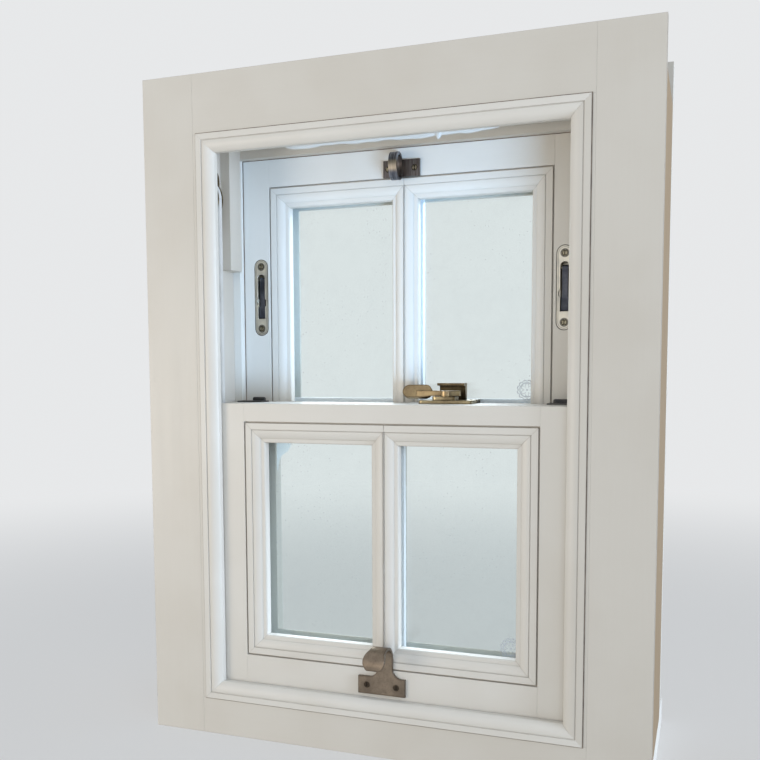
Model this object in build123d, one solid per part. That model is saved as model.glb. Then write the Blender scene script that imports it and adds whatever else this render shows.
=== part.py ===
from build123d import *
from math import pi, radians, tan
import os

# A small double-hung sash window in its box frame, in millimetres.
# x runs along the window, y from the room to the outside and z up.
# Depths are measured from the room face of the inside linings; save() moves the
# origin to the middle of the sill's flat underside.

# Box frame, in plan
CLEAR_WIDTH = 357.0        # between the two pulley stiles
STILE_THICK = 20.0
WEIGHT_ROOM = 33.5         # from the pulley stile to the back lining
BACK_LINING_THICK = 7.0
LINING_THICK = 9.0
LINING_LAP = 7.0           # how far the inside lining's edge stands back from the stile's face
OUTER_LINING_THICK = 18.0
OUTER_LINING_PROUD = 12.0  # how far the outside lining stands past the stile's face
HEAD_THICK = 20.0
HEAD_LINING_HEIGHT = 55.2
HOUSING = 8.0              # how deep the pulley stiles go into the head and the sill

# Beads that keep the sashes in their channels
SASH_PLAY = 1.0            # in front of and behind a sash
PARTING_THICK = 8.0
PARTING_PROUD = 8.0
PARTING_GROOVE = 7.0
STAFF_WIDTH = 17.0
STAFF_PROUD = 1.5          # in front of the inside lining
STAFF_LAP = 3.5            # how far the staff bead's outer edge goes past the stile's face

# Sill
SILL_FRONT_HEIGHT = 46.0
SILL_SLOPE = 7.0           # degrees
SILL_DEPTH = 169.0         # from its room face to its nose
BOTTOM_LINING_HEIGHT = 35.6
DRIP_RADIUS = 3.0
DRIP_FROM_NOSE = 15.0      # middle of the drip groove to the nose

# Sashes
SASH_THICK = 50.0
SASH_SIDE_PLAY = 1.5
SASH_TOP_PLAY = 2.0
SASH_SEAT = 0.5            # paint line between the bottom rail and the sill
LOWER_HEIGHT = 278.3
UPPER_HEIGHT = 284.0
MEETING_HEIGHT = 37.7
SASH_STILE = 35.3          # face widths, up to the shadow gap
BOTTOM_RAIL = 33.4
TOP_RAIL = 33.2
MEETING_FACE = 17.2
HORN_LENGTH = 34.0
NIB_DEPTH = 7.0            # the meeting rail's extra thickness at its top
NIB_BEVEL = 3.8            # and what it loses towards its bottom
MEETING_GAP = 0.5

# Glazing
SHADOW_GAP = 1.5
BEAD_WIDTH = 18.7
BEAD_DEPTH = 12.0
BAR_WIDTH = 26.0
BAR_JOINT = 0.3            # between the two beads that meet on the bar
BAR_CORE = 8.0             # the bar's tongue between the two sealed units
GLASS_THICK = 4.0
SPACER_THICK = 6.0
SPACER_WIDTH = 9.0
GLASS_PLAY = 2.5
LIP_STRAIGHT = 2.0
LIP_SPLAY = 10.5           # how far the outside of a pane's opening is splayed
LEDGE_GROOVE = 6.0         # how deep the glass stands in the upper meeting rail

# Cords, pulleys and weights
CORD = 6.0
CORD_DEPTH = 15.5          # behind the sash's room face
CORD_OUT = 5.0             # from the stile's face to the middle of the cord
CORD_PLAY = 0.4
WHEEL_RADIUS = 23.4
WHEEL_THICK = 9.0
AXLE = 6.0
RUNNING_FIT = 0.08         # round a pin or an axle
PULLEY_DROP = 52.6         # from the head's underside to the axle
PLATE_HEIGHT = 58.7
PLATE_WIDTH = 21.0
PLATE_THICK = 3.0
PLATE_PROUD = 0.4
CHEEK_THICK = 1.8
CHEEK_GAP = 0.7            # between the wheel and a cheek
CHEEK_LENGTH = 38.0
CHEEK_HEIGHT = 38.0
KNOT = 11.0
GROOVE_WIDTH = 12.0
GROOVE_DEPTH = 8.5
KNOT_BELOW = 120.0         # from a sash's top to the knot
WEIGHT_RADIUS = 15.0
WEIGHT_LENGTH = 280.0
WEIGHT_FROM_AXLE = 32.0    # from the axle down to the top of a raised weight
WEIGHT_FROM_SILL = 23.8    # from the sill up to the foot of a lowered one
CORD_LET_IN = 16.0         # into a weight
DIVIDER_THICK = 3.0
DIVIDER_WIDTH = 26.0
DIVIDER_FOOT = 120.0
COVER_BOTTOM = 66.0        # pocket cover in the pulley stile
COVER_HEIGHT = 170.0
COVER_WIDTH = 30.0
COVER_JOINT = 0.25
STOP_FROM_HEAD = 118.6     # length of a stop block
STOP_THICK = 10.1
STOP_FRONT = 38.4

# Sash eye on the upper sash
EYE_X = -1.85
EYE_WIDTH = 36.3
EYE_HEIGHT = 15.7
EYE_DROP = 25.65           # from the sash's top to its middle
EYE_PLATE = 2.0
RING_X = -4.9
RING_BAND = 8.0
RING_LIFT = 0.8            # its middle above the plate's
RING_REACH = 20.0          # from the sash's face
RING_HEIGHT = 26.0
RING_THICK = 2.6

# Travel restrictors on the upper sash
RESTRICTOR_INSET = 25.3     # from the sash's edge to its middle
RESTRICTOR_WIDTH = 15.0
RESTRICTOR_HEIGHT = 76.3
RESTRICTOR_RISE = 104.0    # from the sash's underside
RESTRICTOR_CASE = 14.0     # depth of its case in the stile
RESTRICTOR_WALL = 2.0
SLOT_WIDTH = 7.8
SLOT_RISE = 17.0           # from the plate's foot
SLOT_LENGTH = 44.5
NOTCH_RADIUS = 5.6
NOTCH_RISE = 33.0          # from the plate's foot
TUMBLER_PLAY = 0.4
TUMBLER_DEPTH = 5.0
TUMBLER_ARM = 5.2          # width above its foot
TUMBLER_FOOT = 13.0
TUMBLER_PIN = 2.4
TUMBLER_PIN_DEPTH = 5.0    # behind the sash's face
TUMBLER_PIN_DROP = 5.2     # below the slot's top

# Strike plates on the lower sash
STRIKE_INSET = 9.0         # from the sash's edge
STRIKE_LENGTH = 27.0
STRIKE_DEPTH = 14.0
STRIKE_THICK = 1.6
STRIKE_PROUD = 1.2         # above the sash's top
UPSTAND_INSET = 25.8       # from the sash's edge to its middle
UPSTAND_WIDTH = 13.6
UPSTAND_HEIGHT = 4.6
UPSTAND_ROUND = 1.6
UPSTAND_THICK = 2.0

# Cam fastener
FASTENER_X = 51.0          # pivot
FASTENER_FROM_BACK = 14.0  # pivot to the meeting rail's back edge
BASE_WIDTH = 50.8
BASE_DEPTH = 25.0
BASE_SHIFT = -2.9          # middle of the base from the pivot
BASE_THICK = 3.2
BOSS_WIDTH = 21.5
BOSS_DEPTH = 20.0
BOSS_HEIGHT = 3.6
BOSS_SHIFT = -5.0
PIVOT_RADIUS = 2.6
LEVER_GAP = 0.3
LEVER_THICK = 5.0
HUB_RADIUS = 9.0
CAM_REACH = 21.0
CAM_WIDTH = 9.0
ARM_WIDTH = 8.0
PADDLE_LENGTH = 28.4
PADDLE_HEIGHT = 12.6
PADDLE_THICK = 4.0
PADDLE_END = 46.2          # from the pivot to the paddle's end
PADDLE_LIFT = 3.8          # middle of the thumb piece above the lever's underside
PADDLE_TILT = 25.0
KEEP_X = 46.4
KEEP_WIDTH = 26.0
KEEP_DEPTH = 12.0
KEEP_OVERHANG = 1.0        # in front of the upper sash's face
KEEP_PLATE = 3.2
KEEP_FOOT = 13.0           # the foot's length past the hook
KEEP_HEIGHT = 18.8
KEEP_FLANGE = 3.0
KEEP_LIP = 2.4             # the flange's thickness at its front
KEEP_GUSSET = 4.0

# Hook lift on the bottom rail
LIFT_X = -1.9
LIFT_WIDTH = 45.8
LIFT_RISE = 10.0           # from the sash's underside
LIFT_PLATE_HEIGHT = 16.4
LIFT_THICK = 2.7
NECK_X = 1.5
NECK_WIDTH = 15.0
NECK_RISE = 24.6           # from the plate's foot to the straight part of the neck
HOOK_RISE = 33.6           # and to the middle of the hook
HOOK_RADIUS = 15.5
HOOK_PADDLE_X = 0.2
HOOK_PADDLE_RADIUS = 10.3
HOOK_DROP = 2.0            # the finger piece goes on below the hook's middle
HOOK_ROUND_DROP = 4.0      # and its round end hangs this much lower than its own radius

# Screws
SCREW_RADIUS = 3.0
SCREW_SHANK = 1.5
SCREW_LENGTH = 14.0
EYE_SCREW_SPREAD = 13.0
RESTRICTOR_SCREW_INSET = 7.2
LIFT_SCREW_SPREAD = 14.3
LIFT_SCREW_RISE = 8.4
KEEP_SCREW_INSET = 5.5
STRIKE_SCREW_INSET = 5.6

# Places that follow from the sizes, from the middle outward
FACE = CLEAR_WIDTH / 2
STILE_BACK = FACE + STILE_THICK
ROOM_END = STILE_BACK + WEIGHT_ROOM
OUTER = ROOM_END + BACK_LINING_THICK
LINING_EDGE = FACE + LINING_LAP
STAFF_EDGE = FACE + STAFF_LAP
PARTING_EDGE = FACE - PARTING_PROUD
SASH_EDGE = FACE - SASH_SIDE_PLAY
REBATE = SASH_EDGE - SASH_STILE
SIGHT = REBATE - SHADOW_GAP - BEAD_WIDTH
NIB_EDGE = PARTING_EDGE - SASH_SIDE_PLAY

# from the room to the outside
CHANNEL = SASH_THICK + 2 * SASH_PLAY
LOWER_FACE = LINING_THICK + SASH_PLAY
PARTING_FRONT = LINING_THICK + CHANNEL
UPPER_CHANNEL = PARTING_FRONT + PARTING_THICK
UPPER_FACE = UPPER_CHANNEL + SASH_PLAY
OUTSIDE = UPPER_CHANNEL + CHANNEL
NOSE = LINING_THICK + SILL_DEPTH
BASE_MID = (LINING_THICK + NOSE - DRIP_FROM_NOSE - DRIP_RADIUS) / 2
UNIT_THICK = 2 * GLASS_THICK + SPACER_THICK


def sill_top(depth):
    """Height of the sloping top of the sill at a depth."""
    return SILL_FRONT_HEIGHT - (depth - LINING_THICK) * tan(radians(SILL_SLOPE))


# and from the sill up
LOWER_BOTTOM = sill_top(LOWER_FACE) + SASH_SEAT
LOWER_TOP = LOWER_BOTTOM + LOWER_HEIGHT
UPPER_BOTTOM = LOWER_TOP - MEETING_HEIGHT
UPPER_TOP = UPPER_BOTTOM + UPPER_HEIGHT
HEAD = UPPER_TOP + SASH_TOP_PLAY
LINING_UNDER = HEAD + STAFF_LAP
HEIGHT = LINING_UNDER + HEAD_LINING_HEIGHT
AXLE_Z = HEAD - PULLEY_DROP

# Where the hardware sits
EYE_Z = UPPER_TOP - EYE_DROP
RESTRICTOR_X = SASH_EDGE - RESTRICTOR_INSET
RESTRICTOR_BOTTOM = UPPER_BOTTOM + RESTRICTOR_RISE
SLOT_BOTTOM = RESTRICTOR_BOTTOM + SLOT_RISE
SLOT_TOP = SLOT_BOTTOM + SLOT_LENGTH
NOTCH_Z = RESTRICTOR_BOTTOM + NOTCH_RISE
STRIKE_OUTER = SASH_EDGE - STRIKE_INSET
STRIKE_INNER = STRIKE_OUTER - STRIKE_LENGTH
UPSTAND_X = SASH_EDGE - UPSTAND_INSET
LIFT_BOTTOM = LOWER_BOTTOM + LIFT_RISE
NECK_START = LIFT_BOTTOM + NECK_RISE
HOOK_Z = LIFT_BOTTOM + HOOK_RISE
LIFT_SCREW_Z = LIFT_BOTTOM + LIFT_SCREW_RISE

# Cord and pulley
CORD_X = FACE - CORD_OUT
WEIGHT_X = STILE_BACK + WEIGHT_ROOM / 2
WHEEL_X = (CORD_X + WEIGHT_X) / 2
PITCH_RADIUS = (WEIGHT_X - CORD_X) / 2
LOWER_CORD = LOWER_FACE + CORD_DEPTH
UPPER_CORD = UPPER_FACE + CORD_DEPTH
CASE_HALF = WHEEL_THICK / 2 + CHEEK_GAP + CHEEK_THICK


def block(x0, x1, y0, y1, z0, z1):
    """Box between two corners."""
    return Pos((x0 + x1) / 2, (y0 + y1) / 2, (z0 + z1) / 2) * Box(x1 - x0, y1 - y0, z1 - z0)


def along(points, x0, x1):
    """Extrude an outline of (depth, height) points along the window."""
    return extrude(Plane.YZ.offset(x0) * make_face(Polyline(*points, close=True)), amount=x1 - x0)


def upright(points, z0, z1):
    """Extrude an outline of (x, depth) points upward."""
    return extrude(Pos(0, 0, z0) * make_face(Polyline(*points, close=True)), amount=z1 - z0)


def elevation(x, depth, z):
    """Plane that faces the room, with x along and z up."""
    return Plane(origin=(x, depth, z), x_dir=(1, 0, 0), z_dir=(0, -1, 0))


def other_side(shape):
    return mirror(shape, about=Plane.YZ)


def save(name, *solids):
    """Write one node, with the origin under the middle of the sill."""
    shape = Compound(children=[Pos(0, -BASE_MID, 0) * s for s in solids]) if len(solids) > 1 \
        else Pos(0, -BASE_MID, 0) * solids[0]
    export_step(shape, f"parts/{name}.step")


def save_pair(name, right):
    save(f"{name}_right", right)
    save(f"{name}_left", other_side(right))


# Box frame
def sill_blank():
    nose_z = sill_top(NOSE)
    body = along([(LINING_THICK, 0), (LINING_THICK, SILL_FRONT_HEIGHT), (NOSE, nose_z), (NOSE, 0)], -OUTER, OUTER)
    nose = body.edges().filter_by(Axis.X).group_by(Axis.Y)[-1].group_by(Axis.Z)[-1]
    body = fillet(nose, DRIP_RADIUS)
    drip = Plane.YZ.offset(-OUTER) * Pos(NOSE - DRIP_FROM_NOSE, 0) * Circle(DRIP_RADIUS)
    return body - extrude(drip, amount=2 * OUTER)


def plate_outline(width, height):
    """Flat plate with fully rounded ends, standing."""
    return SlotOverall(height, width, rotation=90)


def pulley_plate(depth, proud, grow=0.0):
    """Oval face plate of a pulley, in the face of the right stile."""
    outline = plate_outline(PLATE_WIDTH + 2 * grow, PLATE_HEIGHT + 2 * grow)
    start = Plane(origin=(FACE - proud, depth, AXLE_Z), x_dir=(0, 1, 0), z_dir=(1, 0, 0))
    return extrude(start * outline, amount=PLATE_THICK)


def cover_outline(grow=0.0):
    """Pocket cover beside the lower sash's channel, cut right through the stile."""
    y0 = PARTING_FRONT - COVER_WIDTH
    return block(FACE, STILE_BACK, y0 - grow, PARTING_FRONT, COVER_BOTTOM - grow, COVER_BOTTOM + COVER_HEIGHT + grow)


def pulley_stile():
    foot = sill_top(LINING_THICK) - HOUSING
    section = [
        (FACE, LINING_THICK), (STAFF_EDGE, LINING_THICK), (STAFF_EDGE, 0), (LINING_EDGE, 0),
        (LINING_EDGE, LINING_THICK), (STILE_BACK, LINING_THICK), (STILE_BACK, OUTSIDE), (FACE, OUTSIDE),
    ]
    stile = upright(section, foot - HOUSING, HEAD + HOUSING)
    stile -= block(FACE, LINING_EDGE, 0, LINING_THICK, LINING_UNDER, HEIGHT)
    stile -= block(FACE, LINING_EDGE, 0, LINING_THICK, 0, BOTTOM_LINING_HEIGHT)
    stile -= block(FACE, FACE + PARTING_GROOVE, PARTING_FRONT, UPPER_CHANNEL, 0, HEAD)
    stile -= cover_outline(COVER_JOINT)
    for depth in (LOWER_CORD, UPPER_CORD):
        stile -= pulley_plate(depth, PLATE_PROUD)
        slot_half = WHEEL_RADIUS + CHEEK_GAP
        stile -= block(FACE, STILE_BACK, depth - CASE_HALF, depth + CASE_HALF, AXLE_Z - slot_half, AXLE_Z + slot_half)
    return stile


def head_board(stile):
    board = along(
        [(LINING_THICK, HEAD), (OUTSIDE, HEAD), (OUTSIDE, HEAD + HEAD_THICK), (LINING_THICK, HEAD + HEAD_THICK)],
        -ROOM_END, ROOM_END,
    )
    board -= block(-FACE, FACE, PARTING_FRONT, UPPER_CHANNEL, HEAD, HEAD + PARTING_GROOVE)
    return board - stile - other_side(stile)


def parting_bead_side():
    return block(PARTING_EDGE, FACE + PARTING_GROOVE, PARTING_FRONT, UPPER_CHANNEL, 0, HEAD - PARTING_PROUD)


def staff_section():
    """Flat, quirk and ovolo, from the outer edge (0) to the inner edge."""
    front = -STAFF_PROUD
    quirk = 5.6
    quirk_width = 0.8
    curve = ThreePointArc((quirk + quirk_width, front + 0.3), (13.0, front + 1.3), (STAFF_WIDTH, front + 5.2))
    rest = Polyline(
        (STAFF_WIDTH, front + 5.2), (STAFF_WIDTH, LINING_THICK), (0, LINING_THICK), (0, front), (quirk, front),
        (quirk, front + 0.8), (quirk + quirk_width, front + 0.8), (quirk + quirk_width, front + 0.3),
    )
    return make_face(curve + rest)


def mitred(section, length, width):
    """A moulded length on the ground line, mitred inward at both ends."""
    start = Plane(origin=(-length / 2, 0, 0), x_dir=(0, 0, 1), z_dir=(1, 0, 0))
    bar = extrude(start * mirror(section, about=Plane.XZ), amount=length)
    half = length / 2
    trapezium = make_face(Polyline((-half, 0), (half, 0), (half - width, width), (width - half, width), close=True))
    return bar & extrude(elevation(0, 40, 0) * trapezium, amount=80)


def save_staff_beads():
    width = 2 * STAFF_EDGE
    height = LINING_UNDER - BOTTOM_LINING_HEIGHT
    middle = (LINING_UNDER + BOTTOM_LINING_HEIGHT) / 2
    flat = mitred(staff_section(), width, STAFF_WIDTH)
    tall = mitred(staff_section(), height, STAFF_WIDTH)
    save("staff_bead_bottom", Pos(0, 0, BOTTOM_LINING_HEIGHT) * flat)
    save("staff_bead_top", Pos(0, 0, LINING_UNDER) * Rot(0, 180, 0) * flat)
    save("staff_bead_left", Pos(-STAFF_EDGE, 0, middle) * Rot(0, 90, 0) * tall)
    save("staff_bead_right", Pos(STAFF_EDGE, 0, middle) * Rot(0, -90, 0) * tall)


def save_box_frame():
    stile = pulley_stile()
    blank = sill_blank()
    foot = sill_top(LINING_THICK) - HOUSING
    below = block(-OUTER, OUTER, 0, NOSE, foot - 4 * HOUSING, sill_top(OUTSIDE) - HOUSING)
    stile -= below
    back = block(ROOM_END, OUTER, LINING_THICK, OUTSIDE, sill_top(OUTSIDE) - HOUSING, HEAD + HEAD_THICK)
    sides = [stile, other_side(stile), back, other_side(back)]
    sill = blank
    for piece in sides:
        sill -= piece
    save("sill", sill)
    save("head_board", head_board(stile))
    save_pair("pulley_stile", stile)
    save("back_linings", back, other_side(back))
    save_pair("inside_lining", block(LINING_EDGE, OUTER, 0, LINING_THICK, 0, HEIGHT))
    save("inside_lining_head", block(-LINING_EDGE, LINING_EDGE, 0, LINING_THICK, LINING_UNDER, HEIGHT))
    save("inside_lining_bottom", block(-LINING_EDGE, LINING_EDGE, 0, LINING_THICK, 0, BOTTOM_LINING_HEIGHT))
    edge = FACE - OUTER_LINING_PROUD
    behind = OUTSIDE + OUTER_LINING_THICK
    side = block(edge, OUTER, OUTSIDE, behind, 0, HEIGHT) - blank
    side = side.solids().sort_by(Axis.Z)[-1]
    over = block(-edge, edge, OUTSIDE, behind, HEAD - OUTER_LINING_PROUD, HEIGHT)
    save("outside_linings", side, other_side(side), over)
    bead = parting_bead_side() - blank
    save_pair("parting_bead", bead.solids().sort_by(Axis.Z)[-1])
    top = block(-FACE, FACE, PARTING_FRONT, UPPER_CHANNEL, HEAD - PARTING_PROUD, HEAD + PARTING_GROOVE)
    save("parting_bead_head", top)
    middle = (LOWER_CORD + UPPER_CORD) / 2
    divider = block(WEIGHT_X - DIVIDER_WIDTH / 2, WEIGHT_X + DIVIDER_WIDTH / 2, middle - DIVIDER_THICK / 2,
                    middle + DIVIDER_THICK / 2, DIVIDER_FOOT, HEAD)
    save("weight_dividers", divider, other_side(divider))
    stop = block(FACE - STOP_THICK, FACE, STOP_FRONT, PARTING_FRONT, HEAD - STOP_FROM_HEAD, HEAD)
    save("stop_blocks", stop, other_side(stop))
    save("pocket_covers", cover_outline(), other_side(cover_outline()))


# Pulleys, cords and weights
def pulley_case(depth):
    """Face plate with two cheeks, and the riveted axle."""
    case = pulley_plate(depth, PLATE_PROUD)
    half = WHEEL_THICK / 2 + CHEEK_GAP
    near = FACE - PLATE_PROUD + PLATE_THICK
    reach = WHEEL_RADIUS + CHEEK_GAP
    case -= Pos(WHEEL_X, depth, AXLE_Z) * Rot(90, 0, 0) * Cylinder(reach, 2 * half)
    for side in (-1, 1):
        y0 = depth + side * half
        y1 = y0 + side * CHEEK_THICK
        cheek = block(near, near + CHEEK_LENGTH, min(y0, y1), max(y0, y1),
                      AXLE_Z - CHEEK_HEIGHT / 2, AXLE_Z + CHEEK_HEIGHT / 2)
        case += cheek
    axle = Pos(WHEEL_X, depth, AXLE_Z) * Rot(90, 0, 0) * Cylinder(AXLE / 2, 2 * half + 2 * CHEEK_THICK)
    return case - axle, axle


def pulley_wheel(depth):
    """Turned wheel with a round groove for the cord."""
    seat = CORD / 2 + CORD_PLAY
    floor = PITCH_RADIUS
    half = WHEEL_THICK / 2
    rim = make_face(Polyline((AXLE / 2 + RUNNING_FIT, -half), (WHEEL_RADIUS, -half), (WHEEL_RADIUS, half),
                             (AXLE / 2 + RUNNING_FIT, half), close=True))
    groove = Pos(floor, 0) * Circle(seat) + Pos(floor + WHEEL_RADIUS / 2, 0) * Rectangle(WHEEL_RADIUS, 2 * seat)
    wheel = revolve(Plane.XZ * (rim - groove), Axis.Z)
    return Pos(WHEEL_X, depth, AXLE_Z) * Rot(90, 0, 0) * wheel


def cord(depth, knot_z, weight_top):
    """From the knot in the sash's edge, up, over the wheel and down into the weight."""
    bottom = (CORD_X, depth, knot_z)
    sash_side = (CORD_X, depth, AXLE_Z)
    top = (WHEEL_X, depth, AXLE_Z + PITCH_RADIUS)
    weight_side = (WEIGHT_X, depth, AXLE_Z)
    end = (WEIGHT_X, depth, weight_top - CORD_LET_IN)
    path = Line(bottom, sash_side) + ThreePointArc(sash_side, top, weight_side) + Line(weight_side, end)
    tube = sweep(Plane(origin=bottom, z_dir=(0, 0, 1)) * Circle(CORD / 2), path=path)
    length = AXLE_Z - knot_z + pi * PITCH_RADIUS + AXLE_Z - weight_top + CORD_LET_IN
    expected = pi * CORD ** 2 / 4 * length
    print(f"cord: length {length:.1f}, bend radius {PITCH_RADIUS:.2f}, volume {tube.volume:.0f} of {expected:.0f}")
    return tube + Pos(*bottom) * Sphere(KNOT / 2)


def weight(depth, top):
    """Cast cylinder with rounded ends and a bore for the cord."""
    body = Pos(WEIGHT_X, depth, top - WEIGHT_LENGTH / 2) * Cylinder(WEIGHT_RADIUS, WEIGHT_LENGTH)
    body = fillet(body.edges().filter_by(GeomType.CIRCLE), WEIGHT_RADIUS / 3)
    bore = CORD_LET_IN + 2 * CORD_PLAY
    return body - Pos(WEIGHT_X, depth, top - bore / 2) * Cylinder(CORD / 2 + CORD_PLAY, bore)


def save_hanging():
    cases = []
    for name, depth, knot_z, weight_top in (
        ("lower", LOWER_CORD, LOWER_TOP - KNOT_BELOW, AXLE_Z - WEIGHT_FROM_AXLE),
        ("upper", UPPER_CORD, UPPER_TOP - KNOT_BELOW, sill_top(UPPER_CORD) + WEIGHT_FROM_SILL + WEIGHT_LENGTH),
    ):
        case, axle = pulley_case(depth)
        cases += [case, axle, other_side(case), other_side(axle)]
        save_pair(f"pulley_wheel_{name}", pulley_wheel(depth))
        save_pair(f"cord_{name}", cord(depth, knot_z, weight_top))
        save_pair(f"weight_{name}", weight(depth, weight_top))
    save("pulley_cases", *cases)


# Sashes
def pane_opening(x0, x1, face, z0, z1):
    """Sight opening of a pane, straight at first and splayed at the outside."""
    lip = face + BEAD_DEPTH + UNIT_THICK
    straight = lip + LIP_STRAIGHT
    back = face + SASH_THICK
    inner = elevation((x0 + x1) / 2, straight, (z0 + z1) / 2) * Rectangle(x1 - x0, z1 - z0)
    outer = elevation((x0 + x1) / 2, back, (z0 + z1) / 2) * Rectangle(x1 - x0 + 2 * LIP_SPLAY, z1 - z0 + 2 * LIP_SPLAY)
    return block(x0, x1, lip, straight, z0, z1) + loft([inner.face(), outer.face()])


def bead_section():
    """Flat, quirk, ovolo and step of a glazing bead, from its inner edge (0) outward."""
    step = 4.3
    quirk = 12.0
    quirk_width = 0.6
    curve = ThreePointArc((step, 2.8), (7.6, 1.0), (quirk, 0.4))
    rest = Polyline(
        (quirk, 0.4), (quirk, 0.9), (quirk + quirk_width, 0.9), (quirk + quirk_width, 0), (BEAD_WIDTH, 0),
        (BEAD_WIDTH, BEAD_DEPTH), (0, BEAD_DEPTH), (0, 4.5), (0.8, 3.7), (step, 3.5), (step, 2.8),
    )
    return make_face(curve + rest)


def pane_bead(length):
    """One bead whose inner edge has the given length, mitred outward at both ends."""
    long = length + 2 * BEAD_WIDTH
    start = Plane(origin=(-long / 2, 0, 0), x_dir=(0, 0, 1), z_dir=(1, 0, 0))
    bar = extrude(start * mirror(bead_section(), about=Plane.XZ), amount=long)
    half = length / 2
    wide = long / 2
    trapezium = make_face(Polyline((-half, 0), (half, 0), (wide, BEAD_WIDTH), (-wide, BEAD_WIDTH), close=True))
    return bar & extrude(elevation(0, 2 * BEAD_DEPTH, 0) * trapezium, amount=3 * BEAD_DEPTH)


def pane_beads(face, z0, z1, sides):
    """Beads round the right pane; its bar side is clipped at the bar's middle."""
    x0 = BAR_WIDTH / 2
    x1 = SIGHT
    places = {
        "top": (x1 - x0, (x0 + x1) / 2, z1, 0),
        "bottom": (x1 - x0, (x0 + x1) / 2, z0, 180),
        "outer": (z1 - z0, x1, (z0 + z1) / 2, 90),
        "bar": (z1 - z0, x0, (z0 + z1) / 2, -90),
    }
    reach = BEAD_WIDTH
    low = z0 if "bottom" not in sides else z0 - reach
    limit = block(BAR_JOINT / 2, x1 + reach, face, face + BEAD_DEPTH, low, z1 + reach)
    beads = []
    for side in sides:
        length, x, z, turn = places[side]
        beads.append((Pos(x, face, z) * Rot(0, turn, 0) * pane_bead(length)) & limit)
    return beads


def sealed_unit(face, z0, z1):
    """Two sheets of glass and the spacer between them, for the right pane."""
    x0 = BAR_CORE / 2 + GLASS_PLAY / 2
    x1 = REBATE - GLASS_PLAY
    front = face + BEAD_DEPTH
    inner = block(x0, x1, front, front + GLASS_THICK, z0, z1)
    outer = block(x0, x1, front + GLASS_THICK + SPACER_THICK, front + UNIT_THICK, z0, z1)
    spacer = block(x0, x1, front + GLASS_THICK, front + GLASS_THICK + SPACER_THICK, z0, z1)
    spacer -= block(x0 + SPACER_WIDTH, x1 - SPACER_WIDTH, front, front + UNIT_THICK, z0 + SPACER_WIDTH, z1 - SPACER_WIDTH)
    return [inner, outer], [spacer]


def glazed(face, z0, z1, glass_low, rebate_low, rebate_high):
    """Glazing bar and openings shared by both sashes."""
    half = BAR_WIDTH / 2
    openings = pane_opening(half, SIGHT, face, z0, z1)
    openings += other_side(openings)
    lip = face + BEAD_DEPTH + UNIT_THICK
    core = block(-BAR_CORE / 2, BAR_CORE / 2, face + BEAD_DEPTH, lip, rebate_low, rebate_high)
    bar = core + (block(-half, half, lip, face + SASH_THICK, z0, z1) - openings)
    return openings, bar


def rail_region(z_edge, z_rebate, z_sight, face):
    """Prism that holds a rail, with its lip mitred into the stiles' lips."""
    outline = Polyline(
        (-REBATE, z_edge), (REBATE, z_edge), (REBATE, z_rebate), (SIGHT, z_sight), (-SIGHT, z_sight),
        (-REBATE, z_rebate), close=True,
    )
    return extrude(elevation(0, face + SASH_THICK, 0) * make_face(outline), amount=SASH_THICK)


def cord_groove(face, top):
    """Groove for the cord in a sash's edge, with a round hole for its knot."""
    depth = face + CORD_DEPTH
    knot_z = top - KNOT_BELOW
    bottom = SASH_EDGE - GROOVE_DEPTH
    groove = block(bottom, SASH_EDGE, depth - GROOVE_WIDTH / 2, depth + GROOVE_WIDTH / 2, knot_z, top)
    knot = Pos(SASH_EDGE - KNOT, depth, knot_z) * Rot(0, 90, 0) * Cylinder(KNOT / 2 + CORD_PLAY, 2 * KNOT)
    return groove + knot


def lower_sash():
    face = LOWER_FACE
    back = face + SASH_THICK
    z_rebate = LOWER_BOTTOM + BOTTOM_RAIL
    z_sight = z_rebate + SHADOW_GAP + BEAD_WIDTH
    top_rebate = LOWER_TOP - MEETING_FACE
    top_sight = top_rebate - SHADOW_GAP - BEAD_WIDTH
    under = sill_top(back) + SASH_SEAT
    blank = along([(face, LOWER_BOTTOM), (face, LOWER_TOP), (back, LOWER_TOP), (back, under)], -SASH_EDGE, SASH_EDGE)
    openings, bar = glazed(face, z_sight, top_sight, z_rebate, z_rebate, top_rebate)
    lip = face + BEAD_DEPTH + UNIT_THICK
    blank -= block(-REBATE, REBATE, face, lip, z_rebate, top_rebate)
    blank -= openings + block(-BAR_WIDTH / 2, BAR_WIDTH / 2, lip, back, z_sight, top_sight)
    low = rail_region(0, z_rebate, z_sight, face)
    high = rail_region(LOWER_TOP, top_rebate, top_sight, face)
    stiles = blank - low - high
    right = stiles.solids().sort_by(Axis.X)[-1] - cord_groove(face, LOWER_TOP)
    nib_low = top_sight + LIP_SPLAY
    nib = along([(back, nib_low), (back + NIB_DEPTH - NIB_BEVEL, nib_low), (back + NIB_DEPTH, LOWER_TOP),
                 (back, LOWER_TOP)], -NIB_EDGE, NIB_EDGE)
    meeting = (blank & high) + nib - strike_pair(strike_cut())
    return right - strike_cut(), blank & low, meeting, bar, (z_sight, top_sight, z_rebate, top_rebate)


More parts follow.
